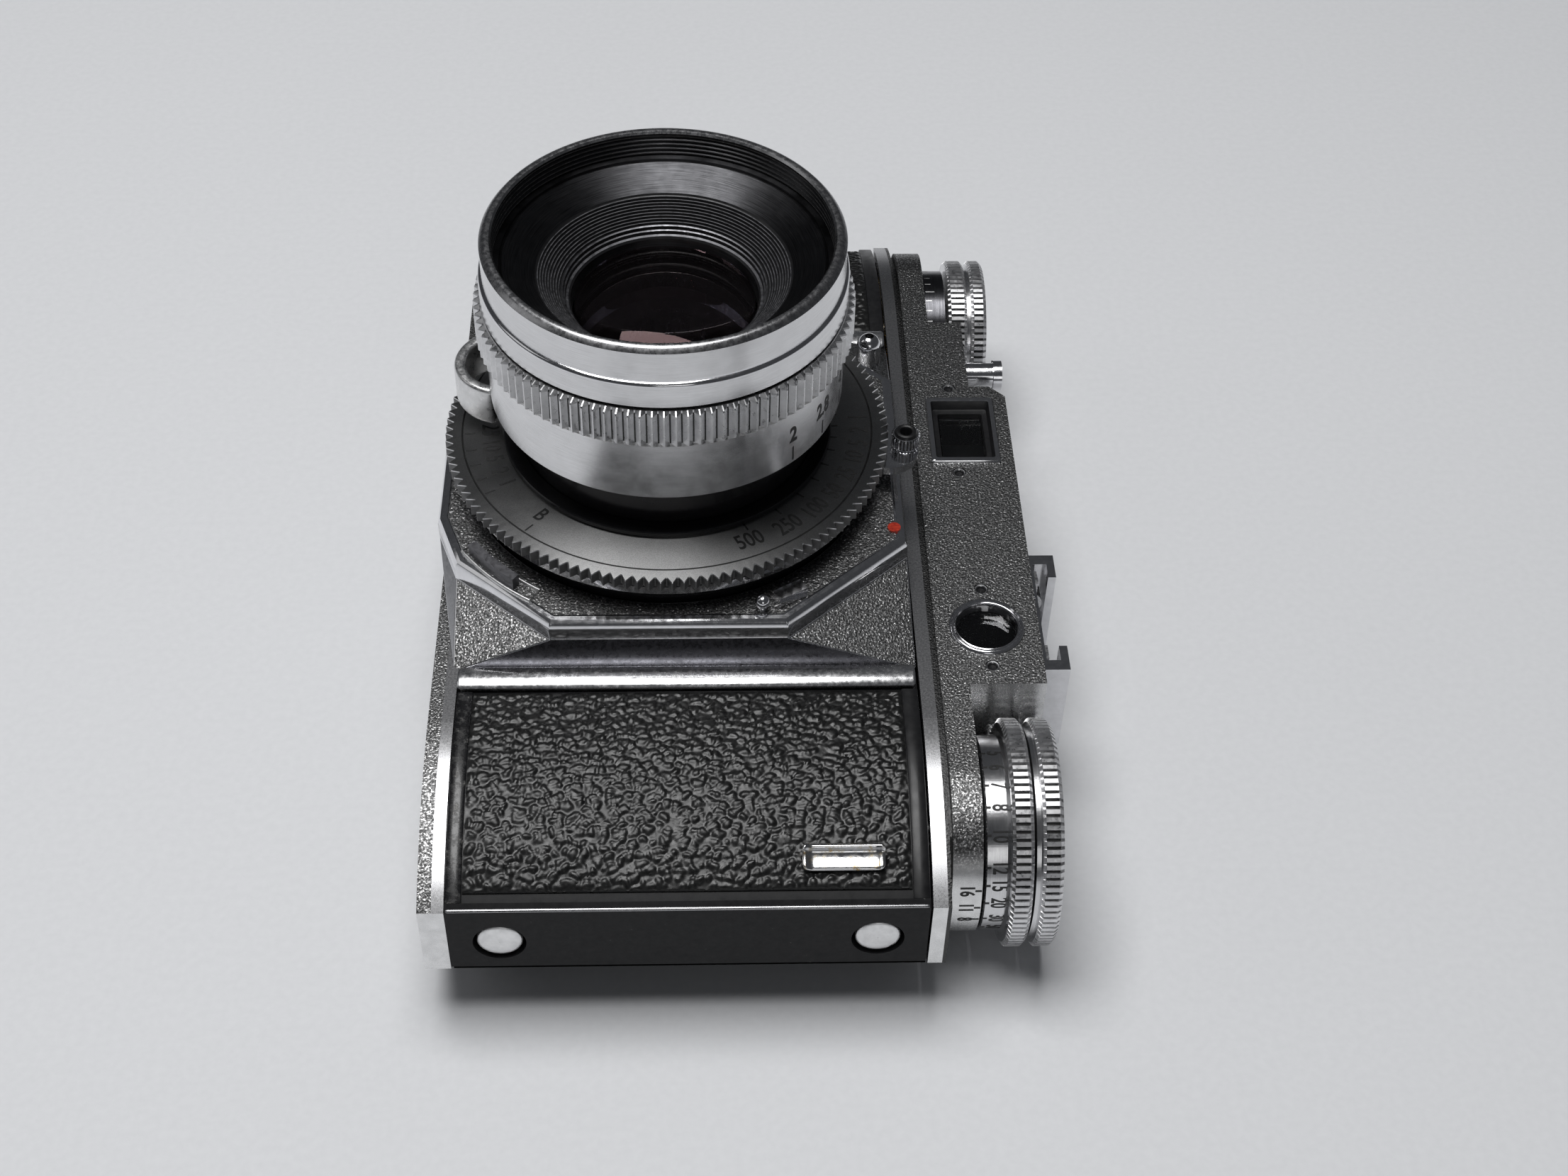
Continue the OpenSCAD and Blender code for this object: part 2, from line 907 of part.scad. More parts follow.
module rewind_knob() {
    color("silver")
        difference() {
            union() {
                rod_x(49.8, 50.4, focus_y, mid_z, focus_rim_r - 1.3);
                rod_x(50.3, knob_x, focus_y, mid_z, focus_rim_r);
            }
            rod_x(40, 52, focus_y, mid_z, 2);
            rod_x(knob_x - 0.6, 60, focus_y, mid_z, focus_rim_r - 2.6);
        }
}

module rewind_shaft() {
    color("lightgray") {
        rod_x(22, 52, focus_y, mid_z, 2);
        box(18.5, 22.5, focus_y - 2.4, focus_y + 2.4, mid_z - 0.6, mid_z + 0.6);
    }
}

module advance_knob() {
    color("silver")
        difference() {
            union() {
                rod_x(46.95, 50.2, advance_y, mid_z, advance_rim_r);
                rod_x(50, 51, advance_y, mid_z, advance_rim_r - 1.2);
                rod_x(50.8, knob_x, advance_y, mid_z, advance_rim_r);
            }
            rod_x(40, 52, advance_y, mid_z, 2.5);
            rod_x(knob_x - 0.6, 60, advance_y, mid_z, advance_rim_r - 2.4);
        }
}

module advance_shaft() {
    color("lightgray")
        rod_x(-31.4, 52, advance_y, mid_z, 2.5);
    color("black")
        difference() {
            union() {
                rod_x(-23.5, 23.5, advance_y, mid_z, 5.2);
                rod_x(-24, -22.8, advance_y, mid_z, 9.6);
                rod_x(22.8, 24, advance_y, mid_z, 9.6);
            }
            box(-18, 18, advance_y - 0.6, advance_y + 0.6, mid_z + 3.4, mid_z + 8);
        }
}

module gear_x(x0, x1, y, z, teeth, pitch_r, phase) {
    translate([0, y, z])
        prism_x(x0, x1)
            gear_outline(teeth, pitch_r, phase);
}

module advance_gear() {
    color("gold")
        difference() {
            gear_x(gear_lo_x, gear_hi_x, advance_y, mid_z, advance_teeth, advance_pitch_r,
                180 + mesh_angle);
            rod_x(0, 50, advance_y, mid_z, 2.5);
        }
}

module sprocket() {
    color("lightgray") {
        rod_x(-27.5, 38.4, sprocket_y, sprocket_z, 1.5);
        rod_x(-17.5, 17.5, sprocket_y, sprocket_z, 4);
        for (x = [-15.8, 12.6]) {
            rod_x(x, x + 3.2, sprocket_y, sprocket_z, 6.05);
            for (i = [0 : 7]) {
                translate([x + 1.6, sprocket_y, sprocket_z])
                    rotate([i * 45, 0, 0])
                        translate([-0.6, -0.6, 0])
                            cube([1.2, 1.2, 7]);
            }
        }
    }
}

module sprocket_gear() {
    color("gold")
        difference() {
            gear_x(gear_lo_x, gear_hi_x, sprocket_y, sprocket_z, sprocket_teeth,
                sprocket_pitch_r, mesh_angle + 180 / sprocket_teeth);
            rod_x(0, 50, sprocket_y, sprocket_z, 1.5);
        }
}

module counter_drum() {
    color("silver")
        difference() {
            rod_x(deck_x + 0.35, bush_x - 0.05, advance_y, mid_z, 10.7);
            rod_x(40, 60, advance_y, mid_z, bush_r + 0.06);
        }
}

module release_button() {
    color("silver")
        difference() {
            union() {
                rod_x(40, release_x, release_y, release_z, release_r);
                rod_x(release_x - 1.4, release_x, release_y, release_z, release_r + 0.4);
                rod_x(40, 41, release_y, release_z, release_r + 1.1);
            }
            rod_x(release_x - 4.2, 60, release_y, release_z, 1.25);
        }
}

// ---- back door ----

// The door's (y, z) outline: a flat back with a large round towards each end.
module door_outline(inset) {
    intersection() {
        translate([near_end_y, door_back_z + inset])
            square([hinge_y - near_end_y, door_rise - inset]);
        union() {
            translate([-door_flat_y, door_back_z + inset])
                square([2 * door_flat_y, depth]);
            for (side = [-1, 1]) {
                translate([side * door_flat_y, door_back_z + door_curve_r])
                    circle(r = door_curve_r - inset, $fn = 180);
            }
        }
    }
}

module back_door() {
    color("dimgray")
        difference() {
            union() {
                prism_x(door_lo_x, inner_hi_x)
                    door_outline(0);
                rod_x(door_lo_x, inner_hi_x, hinge_y, hinge_z, knuckle_r);
            }
            // inside of the door
            intersection() {
                prism_x(door_lo_x + door_wall, inner_hi_x - door_wall)
                    door_outline(door_wall);
                box(-40, 40, near_end_y, hinge_y - 2.2, -1, split_z + 1);
            }
            // the body's film side closes over the door's side walls
            intersection() {
                prism_x(inner_lo_x - 1, inner_hi_x + 1)
                    door_outline(door_wall);
                box(-40, 40, near_end_y, hinge_y - 2.2, film_z - gap, split_z + 1);
            }
            rod_x(-32, 40, hinge_y, hinge_z, 0.6);
        }
}

module door_leather() {
    color("black")
        box(door_lo_x + 1, inner_hi_x - 1, -door_flat_y + 1, door_flat_y - 1, 0, door_back_z - 0.05);
}

module pressure_plate() {
    color("black")
        box(-16.5, 16.5, -24, 24, film_z - 1.55, film_z - 1.2);
}

module pressure_spring() {
    color("gold")
        for (side = [-1, 1]) {
            box(-6, 6, side * 14 - 3, side * 14 + 3, door_back_z + door_wall, film_z - 1.55);
        }
}

module latch_button(x) {
    color("white")
        translate([x, near_end_y + 0.05, latch_z])
            rotate([-90, 0, 0])
                cylinder(r = latch_r, h = 2.6);
}

module latch_button_low() {
    latch_button(-22.5);
}

module latch_button_high() {
    latch_button(28.4);
}

// Pivot of the rewind release lever, square to the curved front.
module release_stud(r) {
    translate([release_lever_x, release_lever_y, release_lever_z])
        rotate([release_lever_tilt, 0, 0])
            translate([0, 0, -2.4])
                cylinder(r = r, h = 3);
}

// Bent chrome lever lying along the curved front near the end.
module rewind_release() {
    color("silver")
        translate([release_lever_x, release_lever_y, release_lever_z])
            rotate([release_lever_tilt, 0, 0]) {
                // flat blade with a raised thumb edge along its far side
                box(-10.6, 0.7, -1.9, 1.9, 0, 0.6);
                box(-10.6, 0.7, 0.6, 1.9, 0.5, 1.1);
                box(-10.6, -9.7, -1.9, 1.9, 0.5, 1.4);
            }
    color("silver")
        intersection() {
            release_stud(1);
            box(20, 40, -70, -60, 24, 40);
        }
}

body_casting();
cassette_housing();
take_up_housing();
bottom_cover();
top_cover();
front_housing();
trim_bars();
leather_near();
leather_far();
end_plate_near();
film_gate();
tripod_bush();
accessory_shoe();
shoe_spring();
rangefinder_ring();
viewfinder_frame();
window_glass();
finder_prism();
eyepiece();
sync_socket();
index_pin();
stop_block();
index_dot();
cover_screws();
hinge_pin();
shutter_case();
shutter_blade(0);  // shutter_blade_1
shutter_blade(1);  // shutter_blade_2
shutter_blade(2);  // shutter_blade_3
shutter_blade(3);  // shutter_blade_4
shutter_blade(4);  // shutter_blade_5
lens_barrel();
front_ring();
cone_ring();
front_lens();
rear_lens();
iris();
aperture_ring();
speed_ring();
lock_tab();
timer_lever();
timer_knob();
sync_slider();
focus_knob();
rewind_knob();
rewind_shaft();
advance_knob();
advance_shaft();
advance_gear();
sprocket();
sprocket_gear();
counter_drum();
release_button();
back_door();
door_leather();
pressure_plate();
pressure_spring();
latch_button_low();
latch_button_high();
rewind_release();
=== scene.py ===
import math

import bmesh
import bpy
from mathutils import Matrix, Vector, noise


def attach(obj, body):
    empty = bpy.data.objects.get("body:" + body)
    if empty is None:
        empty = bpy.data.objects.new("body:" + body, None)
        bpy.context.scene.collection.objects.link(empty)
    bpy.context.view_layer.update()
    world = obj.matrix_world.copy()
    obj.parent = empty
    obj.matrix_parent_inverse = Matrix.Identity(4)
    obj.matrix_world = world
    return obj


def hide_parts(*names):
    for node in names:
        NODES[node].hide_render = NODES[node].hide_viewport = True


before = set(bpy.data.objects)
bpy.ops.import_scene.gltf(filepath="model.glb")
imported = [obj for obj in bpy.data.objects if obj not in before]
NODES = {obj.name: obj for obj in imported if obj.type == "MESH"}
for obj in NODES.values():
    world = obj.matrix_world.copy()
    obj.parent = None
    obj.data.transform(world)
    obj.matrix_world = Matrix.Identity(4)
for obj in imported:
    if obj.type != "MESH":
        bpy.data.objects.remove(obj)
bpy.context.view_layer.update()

MM = 0.001
TAU = 2 * math.pi
scene = bpy.context.scene
noise.seed_set(7)

# Places from the CAD model, in millimetres
FOCUS_Y, ADVANCE_Y, AXIS_Z = -54.2, 55.6, 16.3
NEAR_Y = -71.8
FRONT_Z, CURVE_R, FLAT_Y = 30.0, 53.0, 44.8
LEATHER_X = (-27.1, 32.8)
LOW_MARGIN_X = (-29.3, -27.2)
HIGH_MARGIN_X = (32.9, 35.1)
HOUSING_TOP, HOUSING_BORE_R = 38.12, 30.0
RIM_THREAD_R, RIM_THREAD_TOP, THREAD_PITCH = 23.5, 79.3, 0.72
ROUND_WINDOW = (46.0, -27.6)
FINDER_WINDOW = (46.1, 14.9)
COVER_SCREWS = [(44.7, 25), (44.8, 5.2), (45.9, -19.9), (46.2, -35.1)]
LATCH_X = {"low": -22.5, "high": 28.4}
LATCH_Z = 15.9
TIMER_R, TIMER_ANGLE = 35.2, -3.4
SLOT_RADII = (35.35, 32.95)
SLOT_ANGLES = (213.9, 237.1)

# Where engraved marks lie, just clear of the metal under them
DIAL_INK_Z = 44.725
BARREL_INK_R, DISTANCE_INK_R, DEPTH_INK_R, COUNTER_INK_R = 25.43, 13.63, 13.74, 10.72


# ---- materials ----

class Nodes:
    """A short way to build a node material."""

    def __init__(self, name):
        self.mat = bpy.data.materials.new(name)
        self.mat.use_nodes = True
        self.tree = self.mat.node_tree
        self.bsdf = self.tree.nodes["Principled BSDF"]
        coord = self.add("ShaderNodeTexCoord")
        scale = self.add("ShaderNodeMapping")
        scale.inputs["Scale"].default_value = (1000, 1000, 1000)
        self.link(coord.outputs["Object"], scale.inputs["Vector"])
        self.place = scale.outputs["Vector"]

    def add(self, kind, **settings):
        node = self.tree.nodes.new(kind)
        for key, value in settings.items():
            setattr(node, key, value)
        return node

    def link(self, a, b):
        self.tree.links.new(a, b)

    def set(self, **sockets):
        for key, value in sockets.items():
            self.bsdf.inputs[key.replace("_", " ")].default_value = value
        return self

    def stretch(self, x, y, z):
        node = self.add("ShaderNodeMapping")
        node.inputs["Scale"].default_value = (x, y, z)
        self.link(self.place, node.inputs["Vector"])
        return node.outputs["Vector"]

    def noise(self, scale, detail=2.0, rough=0.5, vector=None):
        node = self.add("ShaderNodeTexNoise")
        node.inputs["Scale"].default_value = scale
        node.inputs["Detail"].default_value = detail
        node.inputs["Roughness"].default_value = rough
        self.link(vector or self.place, node.inputs["Vector"])
        return node.outputs["Fac"]

    def voronoi(self, scale):
        node = self.add("ShaderNodeTexVoronoi", feature="F1")
        node.inputs["Scale"].default_value = scale
        node.inputs["Randomness"].default_value = 1.0
        self.link(self.place, node.inputs["Vector"])
        return node.outputs["Distance"]

    def ramp(self, value, stops):
        node = self.add("ShaderNodeValToRGB")
        elements = node.color_ramp.elements
        while len(elements) < len(stops):
            elements.new(0.5)
        for element, (at, colour) in zip(elements, stops):
            element.position = at
            if not isinstance(colour, tuple):
                colour = (colour, colour, colour)
            element.color = (*colour, 1)
        self.link(value, node.inputs["Fac"])
        return node.outputs["Color"]

    def mix(self, factor, a, b):
        node = self.add("ShaderNodeMix", data_type="RGBA")
        self.link(factor, node.inputs["Factor"])
        for value, socket in ((a, node.inputs["A"]), (b, node.inputs["B"])):
            if isinstance(value, tuple):
                socket.default_value = (*value, 1)
            else:
                self.link(value, socket)
        return node.outputs["Result"]

    def math(self, operation, a, b):
        node = self.add("ShaderNodeMath", operation=operation)
        self.link(a, node.inputs[0])
        if isinstance(b, (int, float)):
            node.inputs[1].default_value = b
        else:
            self.link(b, node.inputs[1])
        return node.outputs[0]

    def colour(self, value):
        self.link(value, self.bsdf.inputs["Base Color"])
        return self

    def rough(self, value):
        self.link(value, self.bsdf.inputs["Roughness"])
        return self

    def bump(self, height, strength, depth_mm, last=None):
        node = self.add("ShaderNodeBump")
        node.inputs["Strength"].default_value = strength
        node.inputs["Distance"].default_value = depth_mm * MM
        self.link(height, node.inputs["Height"])
        if last:
            self.link(last, node.inputs["Normal"])
        self.link(node.outputs["Normal"], self.bsdf.inputs["Normal"])
        return node.outputs["Normal"]

    def radial(self, amount, axis="Z"):
        node = self.add("ShaderNodeTangent", direction_type="RADIAL", axis=axis)
        self.link(node.outputs["Tangent"], self.bsdf.inputs["Tangent"])
        self.set(Anisotropic=amount, Anisotropic_Rotation=0.25)
        return self


def granular_chrome():
    m = Nodes("granular_chrome").set(Metallic=1.0)
    grain = m.noise(3.4, 3.0, 0.65)
    patch = m.noise(0.16, 2.0)
    m.colour(m.mix(patch, m.ramp(grain, [(0.4, 0.05), (0.55, 0.15), (0.67, 0.8)]),
                   m.ramp(grain, [(0.38, 0.08), (0.54, 0.22), (0.65, 0.9)])))
    m.rough(m.ramp(grain, [(0.4, 0.42), (0.65, 0.24)]))
    first = m.bump(grain, 0.9, 0.1)
    m.bump(m.voronoi(2.8), 0.5, 0.08, first)
    return m.mat


def zoned_chrome(name, low_x, high_x, low_dark, high_dark):
    """Cover chrome: granular, smooth in one band of X and on the ends, with painted shade (a flat
    dark colour) in another band.
    """
    m = Nodes(name).set(Metallic=1.0)
    normal = m.add("ShaderNodeNewGeometry").outputs["Normal"]
    split = m.add("ShaderNodeSeparateXYZ")
    m.link(normal, split.inputs[0])
    where = m.add("ShaderNodeSeparateXYZ")
    m.link(m.place, where.inputs[0])
    x = where.outputs["X"]
    band = m.math("MULTIPLY", m.math("GREATER_THAN", x, low_x), m.math("LESS_THAN", x, high_x))
    # painted shade: the band of X from low_dark to high_dark is coloured dark where shade falls
    dark = m.math("MULTIPLY", m.math("GREATER_THAN", x, low_dark),
                  m.math("LESS_THAN", x, high_dark))
    end = m.ramp(m.math("POWER", split.outputs["Y"], 2), [(0.55, 0.0), (0.8, 1.0)])
    smooth = m.math("MAXIMUM", end, band)
    grain = m.noise(3.4, 3.0, 0.65)
    rough_grain = m.ramp(grain, [(0.4, 0.06), (0.54, 0.17), (0.66, 0.85)])
    satin = m.mix(end, (0.5, 0.5, 0.51), m.ramp(m.noise(0.5, 3.0), [(0.3, 0.7), (0.7, 0.85)]))
    base = m.mix(smooth, rough_grain, satin)
    m.colour(m.mix(dark, base, (0.06, 0.06, 0.06)))
    m.rough(m.mix(smooth, m.ramp(grain, [(0.4, 0.42), (0.65, 0.24)]),
                  m.ramp(grain, [(0.3, 0.24), (0.7, 0.32)])))
    first = m.bump(m.mix(smooth, grain, (0.5, 0.5, 0.5)), 0.8, 0.11)
    m.bump(m.mix(smooth, m.voronoi(2.8), (0.5, 0.5, 0.5)), 0.45, 0.08, first)
    return m.mat


def polished_chrome(name="polished_chrome_look", tint=(0.86, 0.86, 0.88), rough=0.09,
                    dents=0.05):
    m = Nodes(name).set(Metallic=1.0)
    haze = m.noise(0.55, 4.0, 0.6)
    m.colour(m.ramp(haze, [(0.3, tuple(c * 0.86 for c in tint)), (0.65, tint)]))
    m.rough(m.ramp(m.noise(1.4, 5.0, 0.7), [(0.35, rough), (0.75, rough * 2.2)]))
    m.bump(m.noise(3.5, 3.0), dents, 0.02)
    return m.mat


def turned_metal(name, low, high, rough, aniso, axis="Z"):
    """Metal turned on a lathe: fine rings round the axis."""
    m = Nodes(name).set(Metallic=1.0)
    across, along = 0.25, 40.0
    stretch = (across, across, along) if axis == "Z" else (along, across, across)
    rings = m.noise(1.0, 2.0, 0.5, m.stretch(*stretch))
    stain = m.noise(0.35, 5.0, 0.65)
    m.colour(m.mix(stain, m.ramp(rings, [(0.3, low), (0.7, high)]),
                   m.ramp(rings, [(0.3, tuple(c * 0.88 for c in low)), (0.7, high)])))
    m.rough(m.ramp(stain, [(0.35, rough), (0.7, rough * 1.35)]))
    m.bump(rings, 0.06, 0.02)
    m.radial(aniso, axis)
    return m.mat


def ring_face():
    """The speed ring's dark matt face, turned so that it shows a bright fan of light."""
    m = Nodes("speed_ring_face").set(Metallic=1.0)
    stain = m.noise(0.5, 5.0, 0.7)
    fine = m.noise(9.0, 2.0)
    m.colour(m.mix(stain, m.ramp(fine, [(0.35, 0.24), (0.65, 0.34)]),
                   m.ramp(fine, [(0.35, 0.3), (0.65, 0.42)])))
    m.rough(m.ramp(stain, [(0.3, 0.43), (0.75, 0.5)]))
    m.bump(fine, 0.12, 0.02)
    m.radial(0.9)
    return m.mat


def black_paint(name="black_paint", rough=0.28, wear=0.72, shine=0.3):
    m = Nodes(name).set(Metallic=0.0, Specular_IOR_Level=shine, Coat_Weight=0.3 * shine,
                        Coat_Roughness=0.12)
    chips = m.noise(1.1, 6.0, 0.7)
    m.colour(m.ramp(chips, [(0.3, (0.008, 0.008, 0.009)), (wear, (0.016, 0.016, 0.017)),
                            (wear + 0.04, (0.13, 0.13, 0.125))]))
    m.rough(m.ramp(m.noise(0.6, 4.0), [(0.3, rough), (0.7, rough * 1.5)]))
    m.bump(m.noise(6.0, 3.0), 0.07, 0.03)
    return m.mat


def worn_edge_paint():
    """Black paint worn grey in patches, beside the leather."""
    m = Nodes("worn_black_paint").set(Metallic=0.0, Coat_Weight=0.2)
    chips = m.noise(0.9, 8.0, 0.75)
    m.colour(m.ramp(chips, [(0.5, (0.006, 0.006, 0.007)), (0.615, (0.015, 0.015, 0.015)),
                            (0.64, (0.2, 0.195, 0.18))]))
    m.rough(m.ramp(chips, [(0.5, 0.25), (0.62, 0.6)]))
    m.bump(chips, 0.3, 0.08)
    return m.mat


def leather():
    m = Nodes("pebbled_leather").set(Metallic=0.0, Specular_IOR_Level=0.45)
    cells = m.voronoi(1.15)
    creases = m.noise(2.6, 4.0, 0.6)
    m.colour(m.ramp(creases, [(0.3, (0.004, 0.004, 0.004)), (0.7, (0.012, 0.012, 0.012))]))
    m.rough(m.ramp(cells, [(0.1, 0.22), (0.6, 0.36)]))
    first = m.bump(creases, 0.12, 0.1)
    m.bump(m.noise(9.0, 2.0), 0.06, 0.03, first)
    return m.mat


def enamel():
    m = Nodes("red_enamel_look").set(Coat_Weight=0.6, Roughness=0.3)
    m.colour(m.ramp(m.noise(2.5, 3.0), [(0.35, (0.32, 0.018, 0.01)),
                                        (0.7, (0.62, 0.06, 0.025))]))
    return m.mat


def ink():
    m = Nodes("engraved_black").set(Roughness=0.5)
    m.colour(m.ramp(m.noise(3.0, 3.0), [(0.3, 0.008), (0.75, 0.02)]))
    return m.mat


def glass(name, tint, coat=(1.0, 1.0, 1.0), ior=1.5):
    m = Nodes(name).set(Transmission_Weight=1.0, IOR=ior, Roughness=0.0, Base_Color=(*tint, 1))
    m.set(Specular_Tint=(*coat, 1))
    m.bump(m.noise(0.3, 2.0), 0.004, 0.01)
    return m.mat


def brass():
    m = Nodes("gear_brass_look").set(Metallic=1.0)
    m.colour(m.ramp(m.noise(1.0, 4.0), [(0.3, (0.55, 0.38, 0.15)), (0.7, (0.82, 0.63, 0.3))]))
    m.rough(m.ramp(m.noise(2.0, 3.0), [(0.3, 0.25), (0.7, 0.4)]))
    return m.mat


def worn_chrome():
    """Chrome worn through to warm brass in spots, on the little lever."""
    m = Nodes("worn_chrome").set(Metallic=1.0)
    spots = m.noise(0.8, 5.0, 0.65)
    m.colour(m.ramp(spots, [(0.5, (0.8, 0.8, 0.81)), (0.6, (0.62, 0.58, 0.5)),
                            (0.68, (0.6, 0.38, 0.12)), (0.75, (0.2, 0.1, 0.04))]))
    m.rough(m.ramp(spots, [(0.4, 0.12), (0.7, 0.35)]))
    m.bump(m.noise(2.0, 4.0), 0.12, 0.05)
    return m.mat


GRAIN = granular_chrome()
# the dark band from x 37.5 to 38.5 is painted shade along the groove before the deck
COVER = zoned_chrome("cover_chrome", 34.0, 37.5, 37.5, 38.5)
# the dark band from x -40 to -39 is painted shade along the base cover's outer edge
BASE = zoned_chrome("base_chrome", -31.1, -29.0, -40.0, -39.0)
CHROME = polished_chrome()
SATIN = polished_chrome("satin_cap", (0.8, 0.8, 0.8), 0.24)
STEEL = polished_chrome("bright_steel_look", (0.66, 0.66, 0.67), 0.2)
TURNED = turned_metal("turned_aluminium", (0.66, 0.66, 0.67), (0.84, 0.84, 0.85), 0.2, 0.55)
TURNED_X = turned_metal("turned_knob", (0.62, 0.62, 0.63), (0.84, 0.84, 0.85), 0.2, 0.5, "X")
RIB = polished_chrome("knurled_aluminium", (0.74, 0.74, 0.75), 0.24, 0.01)
DARK_DRUM = turned_metal("dark_drum", (0.05, 0.05, 0.055), (0.16, 0.16, 0.17), 0.22, 0.4, "X")
FACE = ring_face()
TOOTH = polished_chrome("tooth_edge", (0.8, 0.8, 0.81), 0.26)
# dark grey on the speed ring's outer tooth walls: painted shade below the bright tops
TOOTH_SIDE = polished_chrome("tooth_side_painted_shade", (0.2, 0.2, 0.2), 0.35)
BLACK = black_paint()
SHUTTER_BLACK = black_paint("shutter_black", 0.16, 0.9)
WORN = worn_edge_paint()
LEATHER = leather()
RED = enamel()
INK = ink()
WINDOW = glass("window_glass", (0.95, 0.96, 0.97))
LENS = glass("coated_lens", (0.97, 0.95, 0.98), (0.85, 0.55, 0.56), 1.36)
BRASS = brass()
LEVER = worn_chrome()
NAME = turned_metal("turned_black", (0.03, 0.03, 0.032), (0.09, 0.09, 0.095), 0.33, 0.8)
THREAD = polished_chrome("thread_crest", (0.3, 0.3, 0.3), 0.35, 0.0)
LAND = polished_chrome("groove_land", (0.16, 0.16, 0.17), 0.3)
# grey metal standing in for light: painted shade on the lens's rounded front rim, a painted
# highlight on the end plate's edge bead
RIM = polished_chrome("rim_grey_painted_light", (0.42, 0.42, 0.43), 0.2)
PLATE = black_paint("end_plate_paint", 0.3, 0.68, 0.12)
BLUED = polished_chrome("blued_steel_look", (0.1, 0.1, 0.12), 0.3)
# near-black grey for grooves and knurl valleys: painted shade in the recesses
GROOVE = polished_chrome("groove_painted_shade", (0.07, 0.07, 0.07), 0.4)
SIDE = polished_chrome("dark_polished_side", (0.09, 0.09, 0.1), 0.2)
DISC = polished_chrome("latch_disc", (0.88, 0.88, 0.88), 0.3)
TRIM = polished_chrome("trim_chrome", (0.92, 0.92, 0.93), 0.16)
PALE_INK = polished_chrome("pale_ink", (0.7, 0.7, 0.7), 0.3)


# ---- mesh helpers ----

def finish_mesh(me, smooth_angle):
    bm = bmesh.new()
    bm.from_mesh(me)
    bmesh.ops.remove_doubles(bm, verts=bm.verts, dist=1e-7)
    bmesh.ops.recalc_face_normals(bm, faces=bm.faces)
    bm.to_mesh(me)
    bm.free()
    me.shade_smooth()
    me.set_sharp_from_angle(angle=math.radians(smooth_angle))


def band(a, b, n):
    """The n faces between two closed rings of n points that start at points a and b."""
    return [(a + i, a + (i + 1) % n, b + (i + 1) % n, b + i) for i in range(n)]


def caps(n, last):
    """The two end faces of a stack of rings of n points, the last starting at point last."""
    return [tuple(range(n)), tuple(range(last, last + n))]


def grid_rim(nx, ny):
    """The points round the edge of a grid of nx by ny cells, in order."""
    row = nx + 1
    rim = list(range(row)) + [j * row + nx for j in range(1, ny + 1)]
    rim += [ny * row + i for i in range(nx - 1, -1, -1)]
    return rim + [j * row for j in range(ny - 1, 0, -1)]


def piece(name, verts, faces, body, mats, swap=(), face_mats=None, smooth_angle=35,
          bevel=0.0, bevel_mat=-1):
    me = bpy.data.meshes.new(name)
    me.from_pydata([Vector(v) * MM for v in verts], [], faces)
    for m in mats:
        me.materials.append(m)
    if face_mats:
        for polygon, index in zip(me.polygons, face_mats):
            polygon.material_index = index
    finish_mesh(me, smooth_angle)
    ob = bpy.data.objects.new(name, me)
    scene.collection.objects.link(ob)
    if bevel:
        add_bevel(ob, bevel, bevel_mat)
    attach(ob, body)
    if swap:
        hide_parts(*swap)
    return ob


def add_bevel(ob, width, mat=-1, segments=3):
    mod = ob.modifiers.new("edges", "BEVEL")
    mod.width = width * MM
    mod.segments = segments
    mod.limit_method = "ANGLE"
    mod.angle_limit = math.radians(28)
    mod.material = mat
    mod.harden_normals = True
    mod.miter_outer = "MITER_ARC"


def dress(node, mats, bevel=0.0, bevel_mat=-1, segments=3):
    """Gives a CAD node its looks: materials, clean faces and small rounded edges."""
    ob = NODES[node]
    ob.data.materials.clear()
    for m in mats:
        ob.data.materials.append(m)
    if bevel:
        flat = ob.modifiers.new("flat", "DECIMATE")
        flat.decimate_type = "DISSOLVE"
        flat.angle_limit = math.radians(0.6)
        add_bevel(ob, bevel, bevel_mat, segments)


def turned_angles(count, pattern, segments):
    if not pattern:
        return [(TAU * i / segments, 0.0) for i in range(segments)]
    return [(TAU * (i + at) / count, deep) for i in range(count) for at, deep in pattern]


def lathe(name, profile, body, mats, swap=(), axis="Z", centre=(0.0, 0.0), count=0,
          pattern=(), segments=192, smooth_angle=35, groove=None):
    """Turns a closed profile of (radius, place along the axis, rib share, material).

    A pattern of (share of a pitch, depth) repeats count times round it as ribs."""
    angles = turned_angles(count, pattern, segments)
    verts, faces, face_mats = [], [], []
    n = len(profile)
    for angle, deep in angles:
        for r, along, share, _ in profile:
            radius = r - deep * share
            a, b = radius * math.cos(angle), radius * math.sin(angle)
            if axis == "Z":
                verts.append((centre[0] + a, centre[1] + b, along))
            elif axis == "Y":
                verts.append((centre[0] + a, along, centre[1] + b))
            else:
                verts.append((along, centre[0] + a, centre[1] + b))
    for i in range(len(angles)):
        j = (i + 1) % len(angles)
        for k in range(n):
            m = (k + 1) % n
            faces.append((i * n + k, j * n + k, j * n + m, i * n + m))
            ribbed = profile[k][2] and profile[m][2]
            # faces sunk between ribs take the groove material: painted shade in the valleys
            sunk = groove is not None and ribbed and angles[i][1] and angles[j][1]
            face_mats.append(groove if sunk else profile[k][3])
    return piece(name, verts, faces, body, mats, swap, face_mats, smooth_angle)


# ---- engraved marks ----

